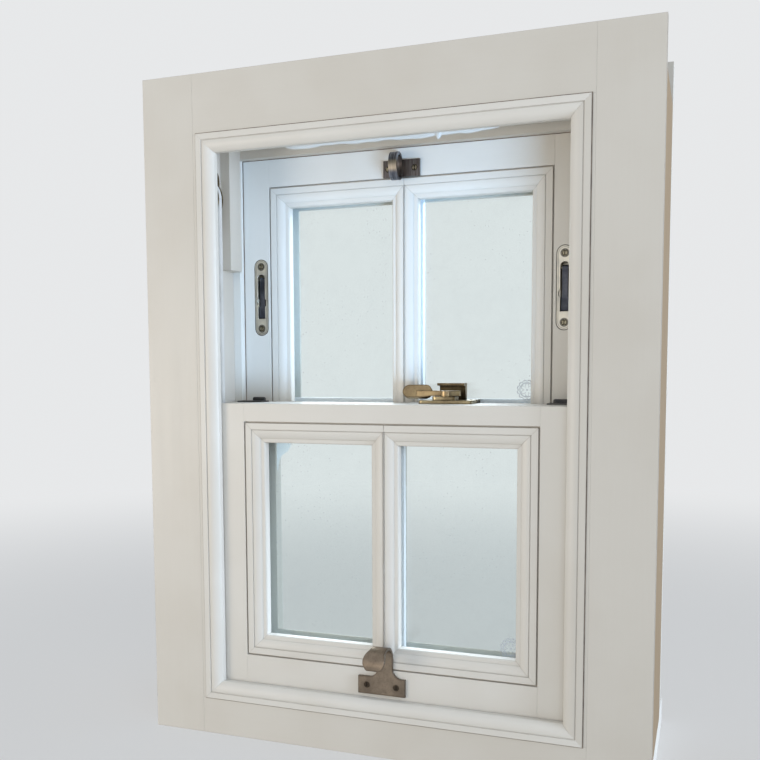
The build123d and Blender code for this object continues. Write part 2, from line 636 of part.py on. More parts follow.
def upper_sash():
    face = UPPER_FACE
    back = face + SASH_THICK
    lip = face + BEAD_DEPTH + UNIT_THICK
    ledge = LOWER_TOP
    top_rebate = UPPER_TOP - TOP_RAIL
    top_sight = top_rebate - SHADOW_GAP - BEAD_WIDTH
    blank = block(-SASH_EDGE, SASH_EDGE, face, back, UPPER_BOTTOM, UPPER_TOP)
    openings, bar = glazed(face, ledge, top_sight, ledge - LEDGE_GROOVE, ledge, top_rebate)
    blank -= block(-REBATE, REBATE, face, lip, ledge, top_rebate)
    blank -= openings + block(-BAR_WIDTH / 2, BAR_WIDTH / 2, lip, back, ledge, top_sight)
    low = block(-REBATE, REBATE, face, back, 0, ledge)
    low += block(-SIGHT, SIGHT, lip, back, 0, ledge)
    high = rail_region(UPPER_TOP, top_rebate, top_sight, face)
    right = (blank - low - high).solids().sort_by(Axis.X)[-1]
    right = (right + horn()) - cord_groove(face, UPPER_TOP) - restrictor_cut()
    meeting = blank & low
    front = LOWER_FACE + SASH_THICK + MEETING_GAP
    nib_low = front + NIB_DEPTH - NIB_BEVEL * (LOWER_TOP - UPPER_BOTTOM) / (LOWER_TOP - lower_nib_low())
    meeting += along([(face, UPPER_BOTTOM), (nib_low, UPPER_BOTTOM), (front + NIB_DEPTH, ledge), (face, ledge)],
                     -NIB_EDGE, NIB_EDGE)
    meeting -= block(-REBATE, REBATE, face + BEAD_DEPTH, lip, ledge - LEDGE_GROOVE, ledge)
    return right, blank & high, meeting, bar, (ledge, top_sight, ledge, top_rebate)


def lower_nib_low():
    return LOWER_TOP - MEETING_FACE - SHADOW_GAP - BEAD_WIDTH + LIP_SPLAY


def horn():
    """Moulded end of an upper stile below the meeting rail."""
    face = UPPER_FACE
    back = face + SASH_THICK
    low = UPPER_BOTTOM - HORN_LENGTH
    middle = (back - SASH_THICK * 0.42, UPPER_BOTTOM - HORN_LENGTH * 0.52)
    tip = (face + SASH_THICK * 0.24, low)
    belly = ThreePointArc((back, UPPER_BOTTOM), (back - SASH_THICK * 0.16, UPPER_BOTTOM - HORN_LENGTH * 0.36), middle)
    hollow = ThreePointArc(middle, (back - SASH_THICK * 0.66, UPPER_BOTTOM - HORN_LENGTH * 0.68), tip)
    edge = Polyline(tip, (face, low), (face, UPPER_BOTTOM), (back, UPPER_BOTTOM))
    outline = make_face(belly + hollow + edge)
    return extrude(Plane.YZ.offset(REBATE) * outline, amount=SASH_EDGE - REBATE)


def save_sashes():
    right, bottom, meeting, bar, (z0, z1, g0, g1) = lower_sash()
    save_pair("lower_stile", right)
    save("lower_bottom_rail", drill(bottom, lift_screws()))
    save("lower_meeting_rail", drill(meeting, base_screws(), (0, 0, 1)))
    save("lower_glazing_bar", bar)
    beads = pane_beads(LOWER_FACE, z0, z1, ("top", "bottom", "outer", "bar"))
    save("lower_glazing_beads", *beads, *[other_side(b) for b in beads])
    glass, spacer = sealed_unit(LOWER_FACE, g0 + GLASS_PLAY, g1 - GLASS_PLAY)
    save("lower_glass", *glass, *[other_side(g) for g in glass])
    save("lower_spacers", *spacer, *[other_side(s) for s in spacer])
    right, top, meeting, bar, (z0, z1, g0, g1) = upper_sash()
    save_pair("upper_stile", right)
    save("upper_top_rail", drill(top, eye_screws()))
    save("upper_meeting_rail", drill(meeting, [keep_screw()], (0, 0, 1)))
    save("upper_glazing_bar", bar)
    beads = pane_beads(UPPER_FACE, z0, z1, ("top", "outer", "bar"))
    save("upper_glazing_beads", *beads, *[other_side(b) for b in beads])
    glass, spacer = sealed_unit(UPPER_FACE, g0 - LEDGE_GROOVE + GLASS_PLAY / 5, g1 - GLASS_PLAY)
    save("upper_glass", *glass, *[other_side(g) for g in glass])
    save("upper_spacers", *spacer, *[other_side(s) for s in spacer])


# Hardware
def screw_body():
    """Countersunk head and shank, with the head's face on the ground line."""
    up = (Align.CENTER, Align.CENTER, Align.MAX)
    head = Cone(SCREW_SHANK, SCREW_RADIUS, SCREW_RADIUS - SCREW_SHANK, align=up)
    return head + Cylinder(SCREW_SHANK, SCREW_LENGTH, align=up)


def screw_room(x, depth, z, direction=(0, -1, 0)):
    """What a screw takes away from what it goes through."""
    return Plane(origin=(x, depth, z), z_dir=direction) * screw_body()


def drill(shape, places, direction=(0, -1, 0)):
    for place in places:
        shape -= screw_room(*place, direction)
    return shape


def screw(x, depth, z, direction=(0, -1, 0)):
    """Countersunk slotted screw; the point is the middle of its head's face."""
    up = (Align.CENTER, Align.CENTER, Align.MAX)
    slot = Box(2 * SCREW_RADIUS, SCREW_SHANK / 2, SCREW_SHANK / 2, align=up)
    return Plane(origin=(x, depth, z), z_dir=direction) * (screw_body() - slot)


def eye_screws():
    return [(EYE_X + side * EYE_SCREW_SPREAD, UPPER_FACE - EYE_PLATE, EYE_Z) for side in (-1, 1)]


def sash_eye():
    """Ring of flat strap standing on a plate."""
    front = UPPER_FACE - EYE_PLATE
    plate = block(EYE_X - EYE_WIDTH / 2, EYE_X + EYE_WIDTH / 2, front, UPPER_FACE,
                  EYE_Z - EYE_HEIGHT / 2, EYE_Z + EYE_HEIGHT / 2)
    radius = RING_REACH / 2
    middle = UPPER_FACE - radius
    ring = Ellipse(radius, RING_HEIGHT / 2) - Ellipse(radius - RING_THICK, RING_HEIGHT / 2 - RING_THICK)
    loop = extrude(Plane.YZ.offset(RING_X - RING_BAND / 2) * Pos(middle, EYE_Z + RING_LIFT) * ring, amount=RING_BAND)
    return drill(plate + loop, eye_screws())


def restrictor_screws():
    return [(RESTRICTOR_X, UPPER_FACE, RESTRICTOR_BOTTOM + RESTRICTOR_SCREW_INSET),
            (RESTRICTOR_X, UPPER_FACE, RESTRICTOR_BOTTOM + RESTRICTOR_HEIGHT - RESTRICTOR_SCREW_INSET)]


def restrictor_body():
    """Face plate let in flush, with the closed case behind it, unpierced."""
    z = RESTRICTOR_BOTTOM + RESTRICTOR_HEIGHT / 2
    outline = plate_outline(RESTRICTOR_WIDTH, RESTRICTOR_HEIGHT)
    plate = extrude(elevation(RESTRICTOR_X, UPPER_FACE + RESTRICTOR_WALL, z) * outline, amount=RESTRICTOR_WALL)
    half = SLOT_WIDTH / 2 + RESTRICTOR_WALL
    case = block(RESTRICTOR_X - half, RESTRICTOR_X + half, UPPER_FACE, UPPER_FACE + RESTRICTOR_CASE,
                 SLOT_BOTTOM - RESTRICTOR_WALL, SLOT_TOP + RESTRICTOR_WALL)
    return plate + case


def restrictor_cut():
    cut = restrictor_body()
    for place in restrictor_screws():
        cut += screw_room(*place)
    return cut


def restrictor():
    """Plate and case with the slot, its two finger notches and the pin."""
    depth = UPPER_FACE + RESTRICTOR_CASE - RESTRICTOR_WALL
    half = SLOT_WIDTH / 2
    straight = SLOT_TOP - half
    behind = UPPER_FACE + RESTRICTOR_WALL
    slot = block(RESTRICTOR_X - half, RESTRICTOR_X + half, UPPER_FACE, behind, SLOT_BOTTOM, straight)
    slot += Pos(RESTRICTOR_X, (UPPER_FACE + behind) / 2, straight) * Rot(90, 0, 0) * Cylinder(half, RESTRICTOR_WALL)
    slot += block(RESTRICTOR_X - half, RESTRICTOR_X + half, behind, depth, SLOT_BOTTOM, SLOT_TOP)
    notch = Pos(RESTRICTOR_X, UPPER_FACE + RESTRICTOR_WALL / 2, NOTCH_Z) * Rot(90, 0, 0) \
        * Cylinder(NOTCH_RADIUS, RESTRICTOR_WALL)
    case = drill(restrictor_body() - slot - notch, restrictor_screws())
    pin = Pos(RESTRICTOR_X, UPPER_FACE + TUMBLER_PIN_DEPTH, SLOT_TOP - TUMBLER_PIN_DROP) * Rot(0, 90, 0) \
        * Cylinder(TUMBLER_PIN / 2, 2 * half)
    return case + pin


def tumbler():
    """Arm with a wider foot that hangs in the slot from its pin and swings out to lie level."""
    half = SLOT_WIDTH / 2 - TUMBLER_PLAY
    arm_half = TUMBLER_ARM / 2
    top = SLOT_TOP - TUMBLER_PIN_DROP
    depth = UPPER_FACE + TUMBLER_PIN_DEPTH
    eye = TUMBLER_DEPTH / 2
    arm = Plane.YZ.offset(RESTRICTOR_X - half) * make_face(Polyline(
        (depth - eye, top), (depth + eye, top), (depth + eye, SLOT_BOTTOM + 2 * TUMBLER_PLAY + eye / 2),
        (depth + eye / 2, SLOT_BOTTOM + 2 * TUMBLER_PLAY), (depth - eye, SLOT_BOTTOM + 2 * TUMBLER_PLAY), close=True))
    foot = block(RESTRICTOR_X - half, RESTRICTOR_X + half, depth - eye, depth + eye, SLOT_BOTTOM, SLOT_BOTTOM + TUMBLER_FOOT)
    shank = block(RESTRICTOR_X - arm_half, RESTRICTOR_X + arm_half, depth - eye, depth + eye, SLOT_BOTTOM, SLOT_TOP)
    body = extrude(arm, amount=2 * half) & (foot + shank)
    body += Pos(RESTRICTOR_X, depth, top) * Rot(0, 90, 0) * Cylinder(eye, 2 * arm_half)
    return body - Pos(RESTRICTOR_X, depth, top) * Rot(0, 90, 0) * Cylinder(TUMBLER_PIN / 2 + RUNNING_FIT, 4 * half)


def strike_pair(shape):
    return shape + other_side(shape)


def strike_screw():
    middle = LOWER_FACE + SASH_THICK - STRIKE_DEPTH / 2
    return (STRIKE_OUTER - STRIKE_SCREW_INSET, middle, LOWER_TOP + STRIKE_PROUD)


def strike_blank():
    """Flat of a strike plate, let into the top of the lower sash but standing proud of it."""
    back = LOWER_FACE + SASH_THICK
    top = LOWER_TOP + STRIKE_PROUD
    return block(STRIKE_INNER, STRIKE_OUTER, back - STRIKE_DEPTH, back + UPSTAND_THICK, top - STRIKE_THICK, top)


def strike_cut():
    """Recess for a strike plate and its screw."""
    return strike_blank() + screw_room(*strike_screw(), (0, 0, 1))


def strike_plate():
    """Plate with an upstand at its back for the tumbler to meet."""
    top = LOWER_TOP + UPSTAND_HEIGHT
    back = LOWER_FACE + SASH_THICK
    upstand = block(UPSTAND_X - UPSTAND_WIDTH / 2, UPSTAND_X + UPSTAND_WIDTH / 2, back, back + UPSTAND_THICK, LOWER_TOP, top)
    upstand = fillet(upstand.edges().filter_by(Axis.Y).group_by(Axis.Z)[-1], UPSTAND_ROUND)
    return drill(strike_blank() + upstand, [strike_screw()], (0, 0, 1))


def pivot_depth():
    return LOWER_FACE + SASH_THICK + NIB_DEPTH - FASTENER_FROM_BACK


def base_screws():
    x = FASTENER_X + BASE_SHIFT
    depth = pivot_depth()
    spread = BASE_WIDTH / 2 - KEEP_SCREW_INSET
    return [(x + side * spread, depth, LOWER_TOP + BASE_THICK) for side in (-1, 1)]


def fastener_base():
    """Base plate with a raised boss and the pivot."""
    x = FASTENER_X + BASE_SHIFT
    depth = pivot_depth()
    base = Pos(x, depth, LOWER_TOP + BASE_THICK / 2) * Box(BASE_WIDTH, BASE_DEPTH, BASE_THICK)
    base = fillet(base.edges().filter_by(Axis.Z), BASE_DEPTH / 6)
    boss = Pos(FASTENER_X + BOSS_SHIFT, depth, LOWER_TOP + BASE_THICK + BOSS_HEIGHT / 2) \
        * Box(BOSS_WIDTH, BOSS_DEPTH, BOSS_HEIGHT)
    boss = fillet(boss.edges().filter_by(Axis.Z), BOSS_DEPTH / 5)
    top = LOWER_TOP + BASE_THICK + BOSS_HEIGHT
    pivot = Pos(FASTENER_X, depth, top + (LEVER_THICK + LEVER_GAP) / 2) * Cylinder(PIVOT_RADIUS, LEVER_THICK + LEVER_GAP)
    return drill(base + boss + pivot, base_screws(), (0, 0, 1))


def fastener_lever():
    """Hub with the thumb piece on one side and the cam on the other."""
    depth = pivot_depth()
    low = LOWER_TOP + BASE_THICK + BOSS_HEIGHT + LEVER_GAP
    hub = Circle(HUB_RADIUS)
    cam_end = CAM_REACH - CAM_WIDTH / 2
    cam = make_face(Polyline((-HUB_RADIUS, 0), (HUB_RADIUS, 0), (CAM_WIDTH / 2, -cam_end),
                             (-CAM_WIDTH / 2, -cam_end), close=True)) + Pos(0, -cam_end) * Circle(CAM_WIDTH / 2)
    arm_length = PADDLE_END - PADDLE_LENGTH / 2
    arm = Pos(-arm_length / 2, 0) * Rectangle(arm_length, ARM_WIDTH)
    flat = extrude(Pos(FASTENER_X, depth, low) * (hub + cam + arm), amount=LEVER_THICK)
    flat -= Pos(FASTENER_X, depth, low) * Cylinder(PIVOT_RADIUS + RUNNING_FIT, 4 * LEVER_THICK)
    paddle = extrude(SlotOverall(PADDLE_LENGTH, PADDLE_HEIGHT), amount=PADDLE_THICK / 2, both=True)
    centre = FASTENER_X - PADDLE_END + PADDLE_LENGTH / 2
    paddle = Pos(centre, depth, low + PADDLE_LIFT) * Rot(90 - PADDLE_TILT, 0, 0) * paddle
    return flat + paddle


def keep_screw():
    middle = UPPER_FACE - KEEP_OVERHANG + KEEP_DEPTH / 2
    return (KEEP_X + KEEP_WIDTH / 2 + KEEP_FOOT - KEEP_SCREW_INSET, middle, LOWER_TOP + KEEP_PLATE)


def fastener_keep():
    """Hooked strap on the upper meeting rail, with a gusset at its closed end."""
    front = UPPER_FACE - KEEP_OVERHANG
    x0 = KEEP_X - KEEP_WIDTH / 2
    x1 = KEEP_X + KEEP_WIDTH / 2
    back = front + KEEP_DEPTH
    z0 = LOWER_TOP
    z1 = z0 + KEEP_HEIGHT
    hook = along([
        (front, z0), (back, z0), (back, z1), (front, z1), (front, z1 - KEEP_LIP),
        (back - KEEP_FLANGE, z1 - KEEP_FLANGE), (back - KEEP_FLANGE, z0 + KEEP_PLATE), (front, z0 + KEEP_PLATE),
    ], x0, x1)
    gusset = along([
        (back, z0), (back, z1), (back - KEEP_GUSSET - KEEP_FLANGE, z1), (back - KEEP_GUSSET, z0),
    ], x1 - KEEP_FLANGE, x1)
    foot = block(x0, x1 + KEEP_FOOT, front, back, z0, z0 + KEEP_PLATE)
    return drill(hook + gusset + foot, [keep_screw()], (0, 0, 1))


def lift_screws():
    return [(LIFT_X + side * LIFT_SCREW_SPREAD, LOWER_FACE - LIFT_THICK, LIFT_SCREW_Z) for side in (-1, 1)]


def hook_lift():
    """Strap that leaves the plate in a neck and curls over into a finger piece."""
    back = LOWER_FACE
    front = back - LIFT_THICK
    inner = HOOK_RADIUS - LIFT_THICK
    middle = back - HOOK_RADIUS
    end = HOOK_Z - HOOK_DROP
    strap = make_face(
        Line((back, LIFT_BOTTOM), (back, HOOK_Z))
        + ThreePointArc((back, HOOK_Z), (middle, HOOK_Z + HOOK_RADIUS), (middle - HOOK_RADIUS, HOOK_Z))
        + Polyline((middle - HOOK_RADIUS, HOOK_Z), (middle - HOOK_RADIUS, end), (middle - inner, end), (middle - inner, HOOK_Z))
        + ThreePointArc((middle - inner, HOOK_Z), (middle, HOOK_Z + inner), (front, HOOK_Z))
        + Polyline((front, HOOK_Z), (front, LIFT_BOTTOM), (back, LIFT_BOTTOM))
    )
    half = LIFT_WIDTH / 2
    solid = extrude(Plane.YZ.offset(LIFT_X - half) * strap, amount=LIFT_WIDTH)
    shoulder = LIFT_BOTTOM + LIFT_PLATE_HEIGHT
    left = NECK_X - NECK_WIDTH / 2
    right = NECK_X + NECK_WIDTH / 2
    top = HOOK_Z + 2 * HOOK_RADIUS
    outline = make_face(
        Polyline((left, NECK_START), (left, top), (right, top), (right, NECK_START))
        + RadiusArc((right, NECK_START), (right + NECK_START - shoulder, shoulder), shoulder - NECK_START)
        + Polyline((right + NECK_START - shoulder, shoulder), (LIFT_X + half, shoulder), (LIFT_X + half, LIFT_BOTTOM),
                   (LIFT_X - half, LIFT_BOTTOM), (LIFT_X - half, shoulder), (left - NECK_START + shoulder, shoulder))
        + RadiusArc((left - NECK_START + shoulder, shoulder), (left, NECK_START), shoulder - NECK_START)
    )
    behind = extrude(elevation(0, back, 0) * outline, amount=HOOK_RADIUS)
    disc = Pos(HOOK_PADDLE_X, HOOK_Z + HOOK_PADDLE_RADIUS - HOOK_ROUND_DROP) * Circle(HOOK_PADDLE_RADIUS)
    disc += Pos(NECK_X, HOOK_Z + HOOK_RADIUS) * Rectangle(NECK_WIDTH, HOOK_RADIUS)
    before = extrude(elevation(0, middle, 0) * disc, amount=2 * HOOK_RADIUS)
    return drill((solid & behind) + (solid & before), lift_screws())


def save_hardware():
    save("sash_eye", sash_eye())
    case = restrictor()
    save("restrictor_plates", case, other_side(case))
    save_pair("tumbler", tumbler())
    strike = strike_plate()
    save("strike_plates", strike, other_side(strike))
    save("fastener_base", fastener_base())
    save("fastener_lever", fastener_lever())
    save("fastener_keep", fastener_keep())
    save("hook_lift", hook_lift())
    lower = [screw(*place) for place in lift_screws()]
    lower += [screw(*place, (0, 0, 1)) for place in base_screws()]
    strike_one = screw(*strike_screw(), (0, 0, 1))
    lower += [strike_one, other_side(strike_one)]
    save("lower_screws", *lower)
    upper = [screw(*place) for place in eye_screws()]
    upper += [screw(*keep_screw(), (0, 0, 1))]
    for place in restrictor_screws():
        one = screw(*place)
        upper += [one, other_side(one)]
    save("upper_screws", *upper)


os.makedirs("parts", exist_ok=True)
save_box_frame()
save_staff_beads()
save_hanging()
save_sashes()
save_hardware()
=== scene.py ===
# %% [markdown]
# # A small sash window in its box frame
# The window was drawn first as solids: a box frame, two sliding sashes, their cords, pulleys and weights.
# This script dresses that frame. Nearly every board already has its right shape, so most of the work is in
# the finishes: brushed paint, patinated brass, glass that has been rained on, braided cord.

# %% Load the frame
import math
import bpy
import numpy as np
from mathutils import Matrix, Vector


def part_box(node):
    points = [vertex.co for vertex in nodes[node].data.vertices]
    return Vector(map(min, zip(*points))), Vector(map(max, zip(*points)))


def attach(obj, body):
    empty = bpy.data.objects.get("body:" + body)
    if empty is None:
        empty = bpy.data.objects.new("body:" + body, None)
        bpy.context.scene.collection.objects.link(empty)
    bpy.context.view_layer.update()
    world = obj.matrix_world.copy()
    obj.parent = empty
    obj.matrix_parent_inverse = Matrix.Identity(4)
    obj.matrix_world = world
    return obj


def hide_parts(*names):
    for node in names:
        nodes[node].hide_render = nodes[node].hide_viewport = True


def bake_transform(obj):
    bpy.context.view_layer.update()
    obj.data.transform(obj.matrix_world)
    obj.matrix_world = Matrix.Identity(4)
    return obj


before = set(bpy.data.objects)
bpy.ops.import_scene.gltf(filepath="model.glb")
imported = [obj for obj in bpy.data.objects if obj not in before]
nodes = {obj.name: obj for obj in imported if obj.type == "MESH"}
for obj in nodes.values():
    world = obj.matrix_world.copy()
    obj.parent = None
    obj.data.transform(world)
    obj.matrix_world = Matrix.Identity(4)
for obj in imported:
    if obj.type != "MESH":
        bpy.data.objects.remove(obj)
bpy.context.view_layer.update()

MM = 0.001

# %% [markdown]
# ## Shader sums as plain Python
# A finish needs a lot of small arithmetic, such as a mask times a strength. Wiring Math nodes one by one
# hides the sum, so a Wire wraps a socket and lets Python's own operators add the Math nodes.

# %% A wire and a finish
class Wire:
    """One output socket of a finish. Arithmetic on it adds Math nodes."""

    def __init__(self, finish, socket):
        self.finish = finish
        self.socket = socket

    def math(self, operation, *values):
        return self.finish.math(operation, self, *values)

    def __add__(self, other):
        return self.finish.math("ADD", self, other)

    def __sub__(self, other):
        return self.finish.math("SUBTRACT", self, other)

    def __rsub__(self, other):
        return self.finish.math("SUBTRACT", other, self)

    def __mul__(self, other):
        return self.finish.math("MULTIPLY", self, other)

    def __truediv__(self, other):
        return self.finish.math("DIVIDE", self, other)

    def __abs__(self):
        return self.finish.math("ABSOLUTE", self)

    __radd__ = __add__
    __rmul__ = __mul__


class Finish:
    """A material in the making, with one method that makes any node."""

    def __init__(self, name):
        self.material = bpy.data.materials.new(name)
        self.material.use_nodes = True
        self.tree = self.material.node_tree
        self.tree.nodes.clear()

    def node(self, kind, settings=None, sockets=None, out=0):
        """Adds a node, its settings first and then its sockets, and returns one output as a Wire."""
        made = self.tree.nodes.new(kind)
        for name, value in (settings or {}).items():
            setattr(made, name, value)
        for name, value in (sockets or {}).items():
            self.plug(made.inputs[name], value)
        return Wire(self, made.outputs[out])

    def plug(self, target, value):
        """Links a wire to a socket, or writes a plain value on it."""
        if isinstance(value, Wire):
            self.tree.links.new(value.socket, target)
        elif isinstance(value, tuple) and target.type == "RGBA":
            target.default_value = (*value, 1.0)
        else:
            target.default_value = value

    def math(self, operation, *values):
        return self.node("ShaderNodeMath", {"operation": operation}, dict(enumerate(values)))

    def smooth(self, value, low, high):
        """0 below low, 1 above high, and a soft step between."""
        return self.node("ShaderNodeMapRange", {"interpolation_type": "SMOOTHSTEP"},
                         {"Value": value, "From Min": low, "From Max": high})

    def place(self):
        """Where the surface is, in metres, in the window's own frame."""
        return self.node("ShaderNodeTexCoord", out="Object")

    def part(self, place, letter):
        """One part of a place: X runs across the window, Y from the room outwards, Z up."""
        return self.node("ShaderNodeSeparateXYZ", {}, {0: place}, out=letter)

    def stretched(self, place, scale):
        return self.node("ShaderNodeVectorMath", {"operation": "MULTIPLY"}, {0: place, 1: scale})

    def noise(self, place, scale, detail=2.0, rough=0.5):
        """Cloudy noise, about 0.5 on average."""
        return self.node("ShaderNodeTexNoise", {},
                         {"Vector": place, "Scale": scale, "Detail": detail, "Roughness": rough})

    def cells(self, place, scale):
        """How far each point is from the nearest of many scattered points."""
        return self.node("ShaderNodeTexVoronoi", {"feature": "F1"}, {"Vector": place, "Scale": scale},
                         out="Distance")

    def mix(self, share, first, second):
        """Two colours mixed by a share from 0 to 1.

        The Mix node keeps its two colours in sockets 6 and 7 and gives the mixed one at output 2.
        """
        return self.node("ShaderNodeMix", {"data_type": "RGBA"}, {0: share, 6: first, 7: second}, out=2)

    def soft_edges(self, radius):
        """Normals that turn over each arris, as if it had this radius."""
        return self.node("ShaderNodeBevel", {"samples": 4}, {"Radius": radius})

    def bump(self, height, normal=None):
        """A height in metres laid on the surface."""
        sockets = {"Height": height, "Distance": 1.0, "Strength": 1.0}
        if normal is not None:
            sockets["Normal"] = normal
        return self.node("ShaderNodeBump", {}, sockets)

    def arris_mask(self, rounded, low, high):
        """1 on the arrises, found where the rounded normal leaves the flat one."""
        flat = self.node("ShaderNodeNewGeometry", out="True Normal")
        along = self.node("ShaderNodeVectorMath", {"operation": "DOT_PRODUCT"}, {0: rounded, 1: flat},
                          out="Value")
        return self.smooth(1.0 - along, low, high)

    def crevice(self, distance, samples=8):
        """1 deep in a corner or quirk, 0 on an open face."""
        open_air = self.node("ShaderNodeAmbientOcclusion", {"samples": samples}, {"Distance": distance},
                             out="AO")
        return 1.0 - open_air

    def surface(self, **sockets):
        """The Principled shader that ends most finishes. An underscore stands for a space in a name."""
        named = {key.replace("_", " "): value for key, value in sockets.items()}
        return self.node("ShaderNodeBsdfPrincipled", {}, named)

    def done(self, shader):
        end = self.tree.nodes.new("ShaderNodeOutputMaterial")
        self.tree.links.new(shader.socket, end.inputs["Surface"])
        return self.material


def linear(red, green, blue):
    """A colour as it is seen on a screen, 0 to 255, turned into light."""
    screen = np.array((red, green, blue)) / 255
    light = np.where(screen < 0.04045, screen / 12.92, ((screen + 0.055) / 1.055) ** 2.4)
    return tuple(float(v) for v in light)


print("white paint as light:", [round(v, 3) for v in linear(208, 205, 198)])

# %% [markdown]
# ## Brushed paint
# The joinery carries several coats of off-white eggshell. It isn't flat: the brush leaves fine ridges along
# each board, thick coats soften every arris, and the tone wanders a little. Its quirks and corners are darker
# and browner: this is painted shade, with some dirt. The ridges are noise drawn out along the board, so there
# is one paint for uprights and one for level pieces. The beads round the panes are one piece with mitred
# corners, so their paint finds the mitre and turns there.

# %% Paint
PAINT = linear(210, 207, 200)
PAINT_THIN = linear(196, 190, 179)
# A brown for dirt in the mitre joints, and for painted shade in corners and quirks.
PAINT_GRIME_AND_SHADE = linear(138, 122, 102)
ARRIS = 0.75 * MM
FINE_RIDGES = (620.0, 16.0, 3.0)
WIDE_RIDGES = (120.0, 7.0, 2.0)
# How much painted shade and dirt the beads' quirks take.
BEAD_GRIME_AND_SHADE = 0.1


def ridges(f, place, along):
    """Fine and wide brush ridges: noise squeezed across the board and drawn out along X or Z."""
    for across, lengthwise, detail in (FINE_RIDGES, WIDE_RIDGES):
        scale = tuple(lengthwise if letter == along else across for letter in "XYZ")
        yield f.noise(f.stretched(place, scale), 1.0, detail)


def mitre_masks(f, place, panes):
    """For beads round the panes: 1 on the upright beads, and 1 on the hairline of each mitre.

    A point belongs to an upright bead where it is further past the pane's side than past its top or foot.
    The two distances are equal along the mitre itself.
    """
    half_wide, centre_x, half_high, centre_z = panes
    x = abs(abs(f.part(place, "X")) - centre_x) - half_wide
    z = abs(f.part(place, "Z") - centre_z) - half_high
    return f.smooth(x - z, -0.1 * MM, 0.1 * MM), 1.0 - f.smooth(abs(x - z), 0.15 * MM, 0.4 * MM)


def paint(name, along="X", mitres=None, grime_and_shade_share=0.3):
    """Paint with brush ridges along one axis, or along each bead where the beads are mitred."""
    f = Finish(name)
    place = f.place()
    fine, wide = ridges(f, place, along)
    if mitres:
        upright, joint = mitre_masks(f, place, mitres)
        standing_fine, standing_wide = ridges(f, place, "Z")
        fine = fine + (standing_fine - fine) * upright
        wide = wide + (standing_wide - wide) * upright
    cloud = f.noise(place, 11.0, 4.0)
    nibs = 1.0 - f.smooth(f.cells(place, 95.0), 0.02, 0.09)
    dents = 1.0 - f.smooth(f.cells(place, 19.0), 0.02, 0.07)
    rounded = f.soft_edges(ARRIS)
    height = fine * (0.035 * MM) + wide * (0.10 * MM) + nibs * (0.05 * MM) - dents * (0.12 * MM)
    worn = f.arris_mask(rounded, 0.05, 0.5)
    # Painted shade deep in corners and quirks, browned like dirt.
    grime_and_shade = f.smooth(f.crevice(4 * MM, 4), 0.55, 1.0)
    colour = f.mix(f.smooth(cloud, 0.35, 0.7) * 0.3, PAINT, PAINT_THIN)
    colour = f.mix(fine * 0.12, colour, PAINT_THIN)
    colour = f.mix(worn * 0.2, colour, PAINT_THIN)
    colour = f.mix(grime_and_shade * grime_and_shade_share, colour, PAINT_GRIME_AND_SHADE)
    if mitres:
        colour = f.mix(joint * 0.3, colour, PAINT_GRIME_AND_SHADE)
        height = height - joint * (0.08 * MM)
    rough = 0.34 + wide * 0.16 + grime_and_shade * 0.2
    return f.done(f.surface(Base_Color=colour, Roughness=rough, Specular_IOR_Level=0.4,
                            Normal=f.bump(height, rounded)))


PANE_SIDES = (13.0 * MM, 121.5 * MM)
LOWER_PANE = (99.977 * MM, 287.277 * MM)
UPPER_PANE = (324.677 * MM, 517.577 * MM)
# The upper beads run down into the meeting rail without a foot, so their pane counts as twice as tall.
UPPER_PANE_DOUBLED = (2 * UPPER_PANE[0] - UPPER_PANE[1], UPPER_PANE[1])


def pane_sizes(low, high):
    """Half the width, the middle, half the height and the mid height of a pane."""
    inner, outer = PANE_SIDES
    return (outer - inner) / 2, (inner + outer) / 2, (high - low) / 2, (low + high) / 2


paint_upright = paint("paint_upright", "Z")
paint_level = paint("paint_level", "X")
bead_upright = paint("bead_upright", "Z", grime_and_shade_share=BEAD_GRIME_AND_SHADE)
bead_level = paint("bead_level", "X", grime_and_shade_share=BEAD_GRIME_AND_SHADE)
paint_lower_beads = paint("paint_lower_beads", mitres=pane_sizes(*LOWER_PANE), grime_and_shade_share=BEAD_GRIME_AND_SHADE)
paint_upper_beads = paint("paint_upper_beads", mitres=pane_sizes(*UPPER_PANE_DOUBLED), grime_and_shade_share=BEAD_GRIME_AND_SHADE)
print("paints:", paint_upright.name, paint_level.name)

# %% [markdown]
# ## Bare timber
# Inside the weight boxes nobody paints. Sawn softwood shows long grain, so a wave is bent by noise and drawn
# out along the board.

# %% Timber
def sawn_timber():
    """Bands bent by noise, with fine fibre over them, both drawn out along the board."""
    f = Finish("sawn_timber")
    place = f.place()
    drawn_out = f.stretched(place, (1.0, 1.0, 0.06))
    rings = f.node("ShaderNodeTexWave", {"wave_type": "BANDS", "bands_direction": "Y"},
                   {"Vector": drawn_out, "Scale": 26.0, "Distortion": 9.0, "Detail": 3.0})
    fibre = f.noise(f.stretched(place, (900.0, 900.0, 14.0)), 1.0, 3.0)
    colour = f.mix(rings * 0.55, linear(206, 186, 158), linear(184, 158, 124))
    colour = f.mix(fibre * 0.4, colour, linear(160, 136, 106))
    height = fibre * (0.12 * MM) + rings * (0.05 * MM)
    return f.done(f.surface(Base_Color=colour, Roughness=0.62 + fibre * 0.2, Normal=f.bump(height)))


timber = sawn_timber()
print("timber:", timber.name)
